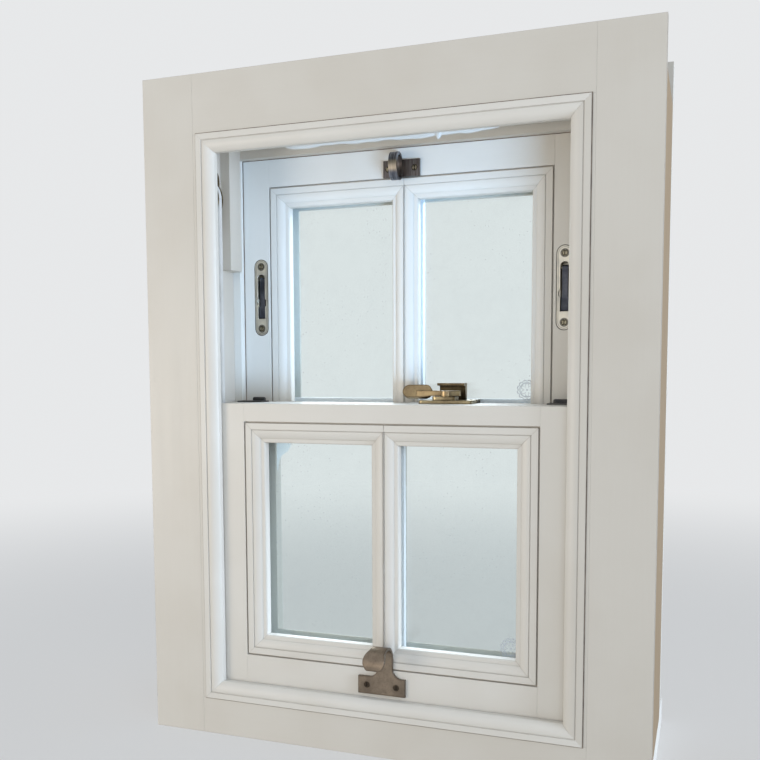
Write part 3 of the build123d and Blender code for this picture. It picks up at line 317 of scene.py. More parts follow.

# %% [markdown]
# ## Brass that has aged
# The fittings are solid brass with an aged finish. It darkens evenly, and it is darker in its corners and
# round its screws: patina there, and painted shade. Its edges are brighter: worn back to the bare metal where
# hands and the other parts touch, and a painted highlight. Some arrises also carry a dark outline of painted
# shade. The bright edges come from the angle between the rounded normal and the flat one, so no edge is drawn
# by hand.

# %% Brass
def brass(name, fresh, aged, dark, rough=0.36, shine=0.55, film=0.0, reach=2.5 * MM):
    """Aged brass: a cloudy film over the metal, darker in corners by patina and painted shade, brighter on
    its edges by wear and a painted highlight.

    film makes the arris itself dark again as painted shade on the outline, and leaves a bright line beside it
    as a painted highlight.
    reach is how far the painted shade of a corner spreads.
    """
    f = Finish(name)
    place = f.place()
    rounded = f.soft_edges(0.5 * MM)
    cloud = f.noise(place, 70.0, 4.0, 0.55)
    speck = f.noise(place, 700.0, 3.0)
    # Wear and a painted highlight on the edges.
    worn = f.arris_mask(rounded, 0.02, 0.25) * (0.55 + 0.45 * f.smooth(cloud, 0.35, 0.6))
    # Patina and painted shade in corners.
    deep = f.smooth(f.crevice(reach, 6), 0.25, 0.75)
    colour = f.mix(f.smooth(cloud, 0.3, 0.7), aged, fresh)
    colour = f.mix(0.2 * f.smooth(speck, 0.45, 0.75), colour, dark)
    colour = f.mix(worn * shine, colour, tuple(min(1.0, v * 1.6) for v in fresh))
    if film:
        # Painted shade on the arris itself.
        wide = f.soft_edges(2.2 * MM)
        colour = f.mix(f.arris_mask(wide, 0.05, 0.14) * film, colour, dark)
    colour = f.mix(deep * 0.9, colour, dark)
    return f.done(f.surface(Base_Color=colour, Metallic=1.0, Roughness=rough + 0.14 * cloud + deep * 0.2,
                            Normal=f.bump(speck * (0.012 * MM), rounded)))


golden = brass("golden_brass", linear(176, 155, 118), linear(142, 123, 95), linear(40, 30, 20),
               rough=0.3, shine=0.9, film=0.8, reach=5 * MM)
# The keep's painted corner shade reaches far, so its whole inside is darkened.
keep_brass = brass("keep_brass", linear(142, 125, 95), linear(94, 80, 61), linear(26, 21, 21),
                   rough=0.26, shine=1.0, film=0.4, reach=16 * MM)
aged = brass("aged_brass", linear(198, 180, 142), linear(158, 143, 112), linear(34, 27, 22),
             rough=0.26, shine=1.0, film=0.75, reach=7 * MM)
bronze = brass("brown_bronze", linear(150, 136, 120), linear(122, 110, 97), linear(46, 38, 32),
               rough=0.3, shine=0.9, film=0.7)
pulley_brass = brass("pulley_brass", linear(140, 124, 96), linear(104, 92, 72), linear(40, 34, 26),
                     rough=0.34)
screw_brass = brass("screw_brass", linear(104, 92, 78), linear(70, 62, 54), linear(24, 21, 19))
# The upper screws' dark outline and the bright ring beside it are painted shade and a painted highlight.
ringed_screw = brass("ringed_screw", linear(190, 180, 154), linear(158, 150, 130), linear(34, 31, 28),
                     rough=0.3, shine=0.8, film=1.0)
strike_metal = brass("strike_metal", linear(104, 102, 98), linear(66, 66, 68), linear(24, 24, 26),
                     rough=0.34, shine=0.7)
dark_metal = brass("dark_metal", linear(96, 98, 106), linear(66, 68, 76), linear(18, 19, 24), shine=0.8)
print("metals:", golden.name, bronze.name, dark_metal.name)

# %% [markdown]
# ## Two plates with a dark outline
# The long plates in the upper sash are bevelled, and dark lines of painted shade lie along their outline, at
# the foot of the bevel and round their screws. A picture could be laid on them, but their shape is a straight
# slot, so the lines are worked out from the distance to its edge and stay sharp at any size.

# %% Plates with an outline
PLATE_HALF_WIDE = 7.5 * MM
SCREW_FROM_END = 7.2 * MM
BEVEL_FOOT = 1.9 * MM
SCREW_RING = 3.5 * MM


def outlined_plate():
    """Brass of the two long plates, with dark lines of painted shade that keep to their outline and round
    their screws.

    A plate's outline is a straight slot shape, so the distance inwards from it is half its width less the
    distance from its middle line. One line lies on the very edge, one marks the foot of its bevel.
    """
    low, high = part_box("restrictor_plates")
    straight = (high[2] - low[2]) / 2 - PLATE_HALF_WIDE
    f = Finish("outlined_plate")
    place = f.place()
    rounded = f.soft_edges(0.4 * MM)
    cloud = f.noise(place, 90.0, 4.0, 0.55)
    across = abs(f.part(place, "X")) - (high[0] - PLATE_HALF_WIDE)
    up = abs(f.part(place, "Z") - (low[2] + high[2]) / 2)
    past = (up - straight).math("MAXIMUM", 0.0)
    inwards = PLATE_HALF_WIDE - (across * across + past * past).math("SQRT")
    screw_up = up - (straight + PLATE_HALF_WIDE - SCREW_FROM_END)
    from_screw = (across * across + screw_up * screw_up).math("SQRT")
    # Painted shade: a dark line on the very edge, one at the foot of the bevel, a ring round each screw, and
    # darker corners.
    edge = 1.0 - f.smooth(inwards, 0.5 * MM, 1.0 * MM)
    bevel = 1.0 - f.smooth(abs(inwards - BEVEL_FOOT), 0.15 * MM, 0.5 * MM)
    ring = 1.0 - f.smooth(abs(from_screw - SCREW_RING), 0.3 * MM, 0.7 * MM)
    deep = f.smooth(f.crevice(3 * MM, 6), 0.3, 0.8)
    lines = (edge * 0.9 + bevel * 0.5 + ring * 0.75 + deep * 0.8).math("MINIMUM", 0.95)
    colour = f.mix(f.smooth(cloud, 0.3, 0.7), linear(202, 197, 186), linear(224, 218, 202))
    colour = f.mix(lines, colour, linear(40, 38, 36))
    return f.done(f.surface(Base_Color=colour, Metallic=1.0, Roughness=0.3 + 0.16 * cloud,
                            Normal=f.bump(cloud * (0.02 * MM), rounded)))


plate_brass = outlined_plate()
print("plates:", plate_brass.name)

# %% [markdown]
# ## The eye that a pole hooks into
# The ring on the top rail is nearly black, with streaks across it, and bright on its front round the middle:
# worn by the hook of a pole, and a painted highlight. The bright part is where two masks meet: the front of
# the ring and a belt round its middle. Its hollows are darkened as painted shade.

# %% The eye
EYE_HEIGHT = 545 * MM
EYE_FRONT = (-33.0 * MM, -27.0 * MM)
EYE_PLATE = (-25.5 * MM, -24.5 * MM)


def rubbed_eye():
    """Nearly black brass with a streaked ring, bright on the front where a pole's hook pulls: wear and a
    painted highlight.
    """
    f = Finish("rubbed_eye")
    place = f.place()
    rounded = f.soft_edges(0.5 * MM)
    streak = f.noise(f.stretched(place, (1100.0, 50.0, 50.0)), 1.0, 3.0)
    cloud = f.noise(place, 180.0, 3.0)
    depth = f.part(place, "Y")
    front = 1.0 - f.smooth(depth, *EYE_FRONT)
    belt = 1.0 - f.smooth(abs(f.part(place, "Z") - EYE_HEIGHT), 2.5 * MM, 7 * MM)
    worn = f.arris_mask(rounded, 0.02, 0.25)
    # Wear and a painted highlight where the front meets the belt, and on the arrises.
    rub_and_highlight = (front * belt * 0.9 + worn * 0.5).math("MINIMUM", 1.0)
    # Painted shade inside the ring and in its corners.
    deep = f.smooth(f.crevice(4 * MM, 6), 0.3, 0.85)
    colour = f.mix(f.smooth(streak, 0.35, 0.65), linear(84, 88, 98), linear(162, 164, 174))
    colour = f.mix(f.smooth(depth, *EYE_PLATE) * 0.7, colour, linear(96, 86, 78))
    colour = f.mix(rub_and_highlight * (0.7 + 0.3 * streak), colour, linear(176, 163, 142))
    colour = f.mix(deep * 0.85, colour, linear(22, 23, 28))
    return f.done(f.surface(Base_Color=colour, Metallic=1.0, Roughness=0.26 + 0.12 * cloud,
                            Normal=f.bump(streak * (0.03 * MM), rounded)))


eye_metal = rubbed_eye()
print("eye:", eye_metal.name)

# %% [markdown]
# ## Iron, spacer and cotton
# The weights are rough cast iron with patches of rust, so their bump is coarse and their colour patchy. The
# spacers between the two skins of glass are drawn metal, and their near-white, bluish colour is partly a
# painted highlight of daylight at the panes' edges. The cords are cotton: matt, a little furry, grey where
# hands and pulleys have soiled them, and darker between the strands as painted shade.

# %% Iron, spacer and cotton
def iron():
    """Dark grey lumps, with rust where a slow noise is high."""
    f = Finish("cast_iron")
    place = f.place()
    lumps = f.noise(place, 300.0, 5.0, 0.65)
    rust = f.smooth(f.noise(place, 45.0, 4.0), 0.5, 0.7)
    colour = f.mix(rust, linear(62, 60, 58), linear(104, 66, 44))
    return f.done(f.surface(Base_Color=colour, Metallic=0.6, Roughness=0.6 + rust * 0.25,
                            Normal=f.bump(lumps * (0.5 * MM))))


def spacer_metal():
    """Pale metal with fine streaks squeezed in Y. Its near-white, bluish colour is partly a painted
    highlight.
    """
    f = Finish("spacer_metal")
    drawn = f.noise(f.stretched(f.place(), (300.0, 2500.0, 300.0)), 1.0, 2.0)
    colour = f.mix(drawn, linear(246, 249, 252), linear(224, 230, 238))
    return f.done(f.surface(Base_Color=colour, Metallic=0.1, Roughness=0.35 + drawn * 0.15,
                            Normal=f.bump(drawn * (0.01 * MM))))


def cotton():
    """Off-white fibre, greyed in patches, and darker between the strands as painted shade."""
    f = Finish("braided_cotton")
    place = f.place()
    fibre = f.noise(place, 1500.0, 3.0)
    grey = f.noise(place, 40.0, 3.0)
    # Painted shade between the strands.
    deep = f.crevice(1.5 * MM)
    colour = f.mix(f.smooth(grey, 0.35, 0.7) * 0.5, linear(206, 206, 204), linear(176, 174, 168))
    colour = f.mix(deep * 0.5, colour, linear(120, 116, 108))
    return f.done(f.surface(Base_Color=colour, Roughness=0.85, Sheen_Weight=0.2,
                            Normal=f.bump(fibre * (0.05 * MM))))


cast_iron = iron()
spacer = spacer_metal()
cord_cotton = cotton()
print("iron, spacer and cord:", cast_iron.name, spacer.name, cord_cotton.name)

# %% [markdown]
# ## Glass that has been rained on
# Flat glass needs no bent light: what is behind shows straight through, and only the sheen on its faces grows
# towards a glancing view. So a clear Transparent shader is mixed with a mirror by that sheen, and a pale dull
# shader lies over both where drops have dried, where dust settles, and on a small frosted rosette in the
# corner of each right-hand pane.

# %% Glass
ROSETTES = ((0.1165, 0.337), (0.1155, 0.108))
ROSETTE_RADIUS = 9.5 * MM
ROOM_FACES = (-62.5 * MM, -2.5 * MM)
OUTER_FACES = (-48.5 * MM, 11.5 * MM)
SKIN = (0.3 * MM, 0.8 * MM)


def rosette(f, place, across, height):
    """Frosted lace: twelve scallops round a rim, a ring, six loops inside it and a dot in the middle.

    With reach from 0 in the middle to 1 at the rim, a scallop is where reach = 0.84 + 0.12 |sin 6 turn|, the
    ring is where reach = 0.7, and a loop is where reach = 0.26 + 0.4 |sin 3 turn|. A line is drawn where the
    point is near such a curve.
    """
    flat = f.node("ShaderNodeVectorMath", {"operation": "SUBTRACT"}, {0: place, 1: (across, 0.0, height)})
    x, z = f.part(flat, "X"), f.part(flat, "Z")
    reach = (x * x + z * z).math("SQRT") / ROSETTE_RADIUS
    turn = z.math("ARCTAN2", x)
    scallop = abs(reach - 0.84 - 0.12 * abs((turn * 6.0).math("SINE")))
    ring = abs(reach - 0.70)
    loop = abs(reach - 0.26 - 0.40 * abs((turn * 3.0).math("SINE")))
    lines = 1.0 - f.smooth(reach, 0.06, 0.12)
    for curve in (scallop, ring, loop):
        lines = lines + (1.0 - f.smooth(curve, 0.03, 0.08))
    return lines.math("MINIMUM", 1.0)


def on_face(f, depth, faces):
    """1 on the panes' faces at these depths, so that each mark lies on one skin of glass only."""
    return sum(1.0 - f.smooth(abs(depth - face), *SKIN) for face in faces)


def glass():
    """Clear panes: sheen = 0.035 + 0.96 * facing ** 5, and a dull film where cover is above 0.

    Drops are cells of noise, each with a chance and a size of its own, and brighter towards their rims.
    """
    f = Finish("rained_on_glass")
    place = f.place()
    distance = f.cells(place, 300.0)
    tint = Wire(f, distance.socket.node.outputs["Color"])
    chance = f.node("ShaderNodeSeparateColor", {}, {0: tint}, out=0)
    spread = 0.06 + 0.2 * f.node("ShaderNodeSeparateColor", {}, {0: tint}, out=1)
    inside = 1.0 - f.smooth(distance / spread, 0.75, 1.0)
    rim = f.smooth(distance / spread, 0.45, 0.8)
    patchy = f.smooth(f.noise(place, 12.0, 3.0), 0.40, 0.60)
    drops = inside * (0.35 + rim * 0.65) * f.smooth(chance, 0.5, 0.6) * patchy
    dust = f.smooth(f.noise(place, 30.0, 6.0, 0.7), 0.35, 0.8)
    marks = rosette(f, place, *ROSETTES[0]) + rosette(f, place, *ROSETTES[1])
    depth = f.part(place, "Y")
    weather = on_face(f, depth, OUTER_FACES) * (drops * 0.9 + dust * 0.08)
    lace = on_face(f, depth, ROOM_FACES) * marks
    cover = ((weather + lace) * 0.75).math("MINIMUM", 0.8)
    facing = f.node("ShaderNodeLayerWeight", {}, {"Blend": 0.5}, out="Facing")
    sheen = 0.035 + 0.96 * facing.math("POWER", 5.0)
    clear = f.node("ShaderNodeBsdfTransparent", {}, {"Color": (0.965, 0.985, 0.982)})
    mirror = f.node("ShaderNodeBsdfGlossy", {}, {"Color": (1.0, 1.0, 1.0), "Roughness": 0.02})
    pane = f.node("ShaderNodeMixShader", {}, {0: sheen, 1: clear, 2: mirror})
    film = f.node("ShaderNodeBsdfDiffuse", {}, {"Color": linear(206, 213, 221)})
    return f.done(f.node("ShaderNodeMixShader", {}, {0: cover, 1: pane, 2: film}))


pane_glass = glass()
print("glass:", pane_glass.name)

# %% [markdown]
# ## Each piece gets its finish
# A piece is painted unless it is named here. The paint's direction follows how the board lies. The panes cast
# no shadow, because a clear pane would otherwise darken the beads behind it.

# %% Put the finishes on
LEVEL = ("sill", "head_board", "inside_lining_head", "inside_lining_bottom", "parting_bead_head",
         "staff_bead_top", "staff_bead_bottom", "lower_bottom_rail", "lower_meeting_rail", "upper_top_rail",
         "upper_meeting_rail")
SPECIAL = {
    "hook_lift": bronze, "sash_eye": eye_metal, "fastener_base": aged, "fastener_lever": golden,
    "fastener_keep": keep_brass, "restrictor_plates": plate_brass, "strike_plates": strike_metal,
    "lower_glazing_beads": paint_lower_beads, "upper_glazing_beads": paint_upper_beads,
    "tumbler_left": dark_metal, "tumbler_right": dark_metal,
    "lower_screws": screw_brass, "upper_screws": ringed_screw, "pulley_cases": pulley_brass,
    "lower_glass": pane_glass, "upper_glass": pane_glass, "lower_spacers": spacer, "upper_spacers": spacer,
    "back_linings": timber, "weight_dividers": timber,
}
BY_START = {"weight_": cast_iron, "pulley_wheel": aged, "cord_": cord_cotton}


def finish_of(name):
    """The finish of a node: by its own name, then by how its name starts, and otherwise paint."""
    if name in SPECIAL:
        return SPECIAL[name]
    for start, finish in BY_START.items():
        if name.startswith(start):
            return finish
    if name.startswith("staff_bead"):
        return bead_level if name in LEVEL else bead_upright
    return paint_level if name in LEVEL else paint_upright


for name, piece in nodes.items():
    for slot in piece.material_slots:
        slot.material = finish_of(name)
for name in ("lower_glass", "upper_glass"):
    nodes[name].visible_shadow = False
print("finished nodes:", len(nodes))

# %% [markdown]
# ## Surfaces from numbers
# Every new piece is a grid of points: rows follow the piece and columns go round it. The whole grid is worked
# out at once, and one helper turns any such grid into a closed mesh.

# %% Grid to mesh
def from_grid(name, points, material, body):
    """A closed skin from points[row, column]: columns wrap round, each end row closes on its middle."""
    rows, columns = points.shape[:2]
    ends = points[[0, -1]].mean(axis=1)
    coords = np.concatenate([points.reshape(-1, 3), ends])
    row, column = np.meshgrid(np.arange(rows - 1), np.arange(columns), indexing="ij")
    here, beside = row * columns + column, row * columns + (column + 1) % columns
    quads = np.stack([here, beside, beside + columns, here + columns], -1)
    column = np.arange(columns)
    after = (column + 1) % columns
    last_row = (rows - 1) * columns
    first = np.stack([np.full(columns, rows * columns), after, column], -1)
    last = np.stack([np.full(columns, rows * columns + 1), last_row + column, last_row + after], -1)
    mesh = bpy.data.meshes.new(name)
    mesh.from_pydata(coords, [], quads.reshape(-1, 4).tolist() + first.tolist() + last.tolist())
    mesh.polygons.foreach_set("use_smooth", np.ones(len(mesh.polygons), bool))
    mesh.materials.append(material)
    mesh.update()
    piece = bpy.data.objects.new(name, mesh)
    bpy.context.scene.collection.objects.link(piece)
    if body:
        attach(piece, body)
    return piece


def tube(centre, radius, columns):
    """Points round a path: at each row a ring stands square to the path, turned from the y axis.

    point = centre + radius * (cos(turn) * side + sin(turn) * front), where side is square to the path and to
    y, and front is square to the path and to side.
    radius may be a function of the row's length along the path and the turn.
    """
    along = np.gradient(centre, axis=0)
    along /= np.linalg.norm(along, axis=1, keepdims=True)
    side = np.cross(along, (0.0, 1.0, 0.0))
    side /= np.linalg.norm(side, axis=1, keepdims=True)
    front = np.cross(side, along)
    turn = np.linspace(0, 2 * np.pi, columns, endpoint=False)
    length = np.concatenate([[0], np.cumsum(np.linalg.norm(np.diff(centre, axis=0), axis=1))])
    if callable(radius):
        size = radius(length[:, None], turn[None, :])
    else:
        size = np.full((len(centre), columns), radius)
    ring = np.cos(turn)[None, :, None] * side[:, None] + np.sin(turn)[None, :, None] * front[:, None]
    return centre[:, None] + size[..., None] * ring


print("grid helper ready")

# %% [markdown]
# ## Sash cords
# Each sash hangs on two braided cotton cords. A cord goes from a knot in the sash's edge, up and over its
# wheel, and down into its weight. It is three skins: its two straight runs, which on the real window grow and
# shrink as the sash moves, and the bend over the wheel. The braid is in the surface itself: two sets of
# strands wind opposite ways, and the higher of the two shows.

# %% Cords
CORD_RADIUS = 3.0 * MM
STRANDS = 8
BRAID_PITCH = 22.0 * MM
CORD_COLUMNS = 28
BEND_ROWS = 60
AXLE_HEIGHT = 520.377 * MM
CORD_FROM_MIDDLE = 173.5 * MM
WHEEL_FROM_MIDDLE = 194.375 * MM
BEND = WHEEL_FROM_MIDDLE - CORD_FROM_MIDDLE
INTO_WEIGHT = 16.0 * MM
KNOT_SIZE = 3.2 * MM
KNOT_RADIUS = 2.2 * MM
KNOT_ROWS, KNOT_COLUMNS = 72, 14


def braid(length, turn):
    """radius * (0.92 + 0.08 * height ** 0.7), where height is the higher of two winding waves."""
    wind = 2 * np.pi * length / BRAID_PITCH
    one = np.abs(np.cos(STRANDS / 2 * turn + wind * 2))
    two = np.abs(np.cos(STRANDS / 2 * turn - wind * 2 + np.pi / 4))
    return CORD_RADIUS * (0.92 + 0.08 * np.maximum(one, two) ** 0.7)


def straight(x, y, z0, z1, step=0.9 * MM):
    """Evenly spaced points on the upright line through x and y, from height z0 to z1."""
    z = np.linspace(z0, z1, int(abs(z1 - z0) / step) + 2)
    return np.stack([np.full_like(z, x), np.full_like(z, y), z], -1)


def knot(x, y, z):
    """Trefoil: (-sin 3t, sin t + 2 sin 2t, cos t - 2 cos 2t), small enough for the hole in the sash."""
    t = np.linspace(0, 2 * np.pi, KNOT_ROWS, endpoint=True)
    curve = np.stack([-np.sin(3 * t), np.sin(t) + 2 * np.sin(2 * t), np.cos(t) - 2 * np.cos(2 * t)], -1)
    return curve / 3 * KNOT_SIZE + np.array([x, y, z])


def over_wheel(sign, depth):
    """Half a circle about the axle, from the sash's side of the wheel to the weight's.

    across = wheel's middle + bend * cos(angle), height = axle + bend * sin(angle).
    """
    angle = np.linspace(math.pi, 0.0, BEND_ROWS)
    across = sign * (WHEEL_FROM_MIDDLE + BEND * np.cos(angle))
    return np.stack([across, np.full(BEND_ROWS, depth), AXLE_HEIGHT + BEND * np.sin(angle)], -1)


# How deep each sash's cords run, the height of their knots, and where the lower cords end in their weights.
CORDS = {
    "lower": (-59.0 * MM, 204.677 * MM, 472.377 * MM, "lower_sash"),
    "upper": (1.0 * MM, 450.977 * MM, None, "upper_sash"),
}
SIDES = (("left", -1), ("right", 1))


def cord_skin(name, path, body=None):
    """A braided tube along a path."""
    return from_grid(name, tube(path, braid, CORD_COLUMNS), cord_cotton, body)


for level, (depth, knot_z, end_z, sash) in CORDS.items():
    for side, sign in SIDES:
        name = f"cord_{level}_{side}"
        weight = f"weight_{level}_{side}"
        x_in, x_out = sign * CORD_FROM_MIDDLE, sign * (WHEEL_FROM_MIDDLE + BEND)
        bottom = end_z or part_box(weight)[1][2] - INTO_WEIGHT
        to_sash = cord_skin(f"{name}_to_sash", straight(x_in, depth, knot_z, AXLE_HEIGHT))
        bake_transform(to_sash)
        over = cord_skin(f"{name}_over_wheel", over_wheel(sign, depth), "frame")
        to_weight = cord_skin(f"{name}_to_weight", straight(x_out, depth, AXLE_HEIGHT, bottom))
        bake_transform(to_weight)
        tied = tube(knot(x_in, depth, knot_z), KNOT_RADIUS, KNOT_COLUMNS)
        knotted = from_grid(f"{name}_knot", tied, cord_cotton, sash)
        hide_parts(name)

# %% [markdown]
# ## Pulley plate screws
# Two countersunk screws hold each pulley's face plate. A head is a disc whose height depends on the distance
# from its middle and on how near the point is to the slot, so the slot is part of the same surface.

# %% Pulley screws
HEAD_RADIUS = 2.7 * MM
HEAD_COLUMNS = 36
HEAD_REACH = (1.0, 1.0, 0.93, 0.8, 0.6, 0.4, 0.25, 0.12)
HEAD_DOME = (-0.5, -0.02, 0.10, 0.14, 0.17, 0.19, 0.2, 0.2)
SLOT_DEPTH = 0.45 * MM
SLOT_HALF = 0.5 * MM
SLOT_SLOPE = 0.12 * MM
SCREW_FROM_AXLE = 25.2 * MM
PLATE_FACE = 178.1 * MM
LEANS = (("top", SCREW_FROM_AXLE, 0.4), ("bottom", -SCREW_FROM_AXLE, 1.1))


def head_points(x, y, z, sign, lean):
    """Rings from the rim inwards. Height: a low dome, less the slot where |across| is under half a mm."""
    turn = np.linspace(0, 2 * np.pi, HEAD_COLUMNS, endpoint=False)
    reach = np.array(HEAD_REACH)[:, None] * HEAD_RADIUS
    dome = np.array(HEAD_DOME)[:, None] * MM
    a, b = reach * np.cos(turn), reach * np.sin(turn)
    across = a * math.cos(lean) + b * math.sin(lean)
    slot_cut = SLOT_DEPTH * np.clip((SLOT_HALF - np.abs(across)) / SLOT_SLOPE, 0, 1)
    out = dome - np.where(dome > 0, slot_cut, 0)
    return np.stack([x - sign * out, y + a * sign, z + b], -1)


for level, (depth, *_) in CORDS.items():
    for side, sign in SIDES:
        for end_name, rise, lean in LEANS:
            points = head_points(sign * PLATE_FACE, depth, AXLE_HEIGHT + rise, sign, lean)
            head = from_grid(f"pulley_screw_{level}_{side}_{end_name}", points, screw_brass, "frame")
print("pulley screws:", len(CORDS) * len(SIDES) * len(LEANS))

# %% [markdown]
# ## Old paint, dirt and painted shade in the joints
# A narrow gap runs round the beads of each sash. On the real window years of paint have half filled it, so it
# reads as a brown line and not as a black slot; the strip that fills it takes the full painted shade of a
# crevice. A dark line also lies where the staff bead meets the lining and where the parting beads meet the
# sash: painted shade of these joints, with some dirt. Each line is a thin square strip laid along the joint.

# %% Joint lines
def joint_dirt():
    """Brown in two tones, mixed by a patchy noise: painted shade of a joint, and its soiling."""
    f = Finish("joint_dirt")
    patchy = f.smooth(f.noise(f.place(), 60.0, 4.0), 0.3, 0.7)
    colour = f.mix(patchy, linear(96, 84, 76), linear(140, 126, 112))
    return f.done(f.surface(Base_Color=colour, Roughness=0.8, Normal=f.bump(patchy * (0.1 * MM))))


def squared_path(half_wide, low, high, open_low=False):
    """Corners of a rectangle in the window's face, or of its two sides and top where the foot is open."""
    sides = [(-half_wide, low), (-half_wide, high), (half_wide, high), (half_wide, low)]
    return np.array(sides if open_low else [(0.0, low), *sides, (0.0, low)])


def joint_points(path, half, front, back):
    """A rectangular section carried round a path and mitred: a corner moves along its edges' half angle.

    With n1 and n2 square to the two edges, a corner of the skin is at the path's corner plus or minus
    half * (n1 + n2) / (1 + n1.n2).
    """
    steps = np.diff(path, axis=0)
    steps /= np.linalg.norm(steps, axis=1, keepdims=True)
    square = np.stack([-steps[:, 1], steps[:, 0]], -1)
    first, last = np.vstack([square[:1], square]), np.vstack([square, square[-1:]])
    out = (first + last) / (1 + (first * last).sum(1, keepdims=True))
    side = np.array([-1, -1, 1, 1])
    x = path[:, None, 0] + out[:, None, 0] * side * half
    z = path[:, None, 1] + out[:, None, 1] * side * half
    y = np.broadcast_to(np.array([front, back, back, front]), x.shape)
    return np.stack([x, y, z], -1)


shade_and_dirt = joint_dirt()
# The gap strips take the full painted shade of a crevice.
gap_paint = paint("gap_paint", grime_and_shade_share=1.0)
GAP_FROM_MIDDLE = 140.95 * MM
GAP_HALF = 0.72 * MM
LOWER_GAP = (80.527 * MM, 306.727 * MM)
UPPER_GAP = (324.8 * MM, 537.027 * MM)
LOWER_GAP_DEPTHS = (-71.9 * MM, -70.9 * MM)
UPPER_GAP_DEPTHS = (-11.9 * MM, -10.9 * MM)
STAFF_HALF, STAFF_DEPTHS = 0.95 * MM, (-84.62 * MM, -84.3 * MM)
PARTING_HALF, PARTING_DEPTHS = 0.5 * MM, (-15.45 * MM, -14.6 * MM)
staff_low, staff_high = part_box("staff_bead_left")
parting_side = -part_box("parting_bead_left")[1][0]
parting_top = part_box("parting_bead_head")[0][2]
LINES = (
    ("lower_gap_paint", squared_path(GAP_FROM_MIDDLE, *LOWER_GAP), GAP_HALF, LOWER_GAP_DEPTHS,
     gap_paint, "lower_sash"),
    ("upper_gap_paint", squared_path(GAP_FROM_MIDDLE, *UPPER_GAP, open_low=True), GAP_HALF, UPPER_GAP_DEPTHS,
     gap_paint, "upper_sash"),
    ("staff_joint", squared_path(-staff_low[0], staff_low[2], staff_high[2]), STAFF_HALF, STAFF_DEPTHS,
     shade_and_dirt, "frame"),
    ("parting_joint", squared_path(parting_side, UPPER_GAP[0], parting_top, open_low=True), PARTING_HALF,
     PARTING_DEPTHS, shade_and_dirt, "frame"),
)
for name, path, half, depths, finish, body in LINES:
    strip = from_grid(name, joint_points(path, half, *depths), finish, body)
    strip.data.polygons.foreach_set("use_smooth", np.zeros(len(strip.data.polygons), bool))
print("joint lines:", len(LINES), "parting edge in mm:", round(parting_side / MM, 2),
      round(parting_top / MM, 2))

# %% [markdown]
# ## Filler under the head
# Where the head meets its parting bead somebody has filled the gap by hand and painted over it. The ridge is
# wavy and has one thick lump. It is a half round whose size wanders along its length.

# %% Filler
FILLER_DEPTH = -23.5
FILLER_HEIGHT = 573.4
FILLER_ENDS = (-119, 95)
TAPERS = (12, 30)
DRIP_AT = 36.5
FILLER_ROWS, FILLER_COLUMNS = 320, 20


def filler_points():
    """A ridge along x, squashed to an ellipse. It hangs by a sum of slow and quick waves and one drip.

    It is worked out in millimetres, with hangs = 3 + waves + 3.4 exp(-((x - drip) / 2.2) ** 4).
    """
    start, end = FILLER_ENDS
    x = np.linspace(start, end, FILLER_ROWS)
    hangs = 3.0 + 0.5 * np.sin(x / 9.0) + 0.45 * np.sin(x / 23.0 + 1.0) + 0.25 * np.sin(x / 3.6 + 2.0)
    drip = 3.4 * np.exp(-((x - DRIP_AT) / 2.2) ** 4)
    taper = np.clip((x - start) / TAPERS[0], 0, 1) * np.clip((end - x) / TAPERS[1], 0, 1)
    hangs = (hangs + drip) * np.sqrt(taper) + 0.02
    deep = (1.7 + drip * 0.25) * np.sqrt(taper) + 0.02
    turn = np.linspace(0, 2 * np.pi, FILLER_COLUMNS, endpoint=False)
    y = FILLER_DEPTH - deep[:, None] * np.cos(turn)
    z = FILLER_HEIGHT + hangs[:, None] * np.sin(turn)
    return np.stack([np.repeat(x[:, None], FILLER_COLUMNS, 1), y, z], -1) * MM


filler = from_grid("head_filler", filler_points(), paint_level, "frame")
print("filler faces:", len(filler.data.polygons))

# %% [markdown]
# ## Camera
# The camera stands to the right of the window and looks a little down on it. Its place and its angles were
# solved from the corners of the linings, the beads and the sashes in the photograph, together with a focal
# length in the photograph's pixels. The picture's centre isn't the lens's, so the lens is shifted.

# %% Camera
PHOTO_SIZE = 760
SENSOR = 36.0
EYE = (0.2755, -0.8468, 0.3554)
YAW, PITCH, ROLL = (math.radians(v) for v in (19.85, 4.76, -0.21))
FOCAL = 908.7
CENTRE_DROP = 66.3
forward = Vector((-math.sin(YAW) * math.cos(PITCH), math.cos(YAW) * math.cos(PITCH), -math.sin(PITCH)))
right = Vector((math.cos(YAW), math.sin(YAW), 0.0))
up = right.cross(forward)
turned_right = right * math.cos(ROLL) + up * math.sin(ROLL)
turned_up = up * math.cos(ROLL) - right * math.sin(ROLL)
lens = bpy.data.cameras.new("camera")
lens.sensor_width = SENSOR
lens.lens = FOCAL / PHOTO_SIZE * SENSOR
lens.shift_y = CENTRE_DROP / PHOTO_SIZE
camera = bpy.data.objects.new("camera", lens)
bpy.context.scene.collection.objects.link(camera)
turned = Matrix((turned_right, turned_up, -forward)).transposed().to_4x4()
camera.matrix_world = Matrix.Translation(EYE) @ turned
bpy.context.scene.camera = camera
print("lens:", round(lens.lens, 2), "mm")

# %% [markdown]
# ## Light
# A plain studio: an even pale surround and a large soft box in the room. Six smaller lamps light chosen
# pieces only, so that their colour stays off the floor and off the panes: a warm one low in the room, a cool
# one on the left side of the window, one in the recess of the upper sash, and three outside. Of those, one
# falls on the beads and the meeting rail, one on the reveals behind the panes and one evenly on the back.

# %% Surround
BACKGROUND = (0.80, 0.81, 0.82)
world = bpy.data.worlds.new("studio")
bpy.context.scene.world = world
world.use_nodes = True
sky = world.node_tree
sky.nodes.clear()


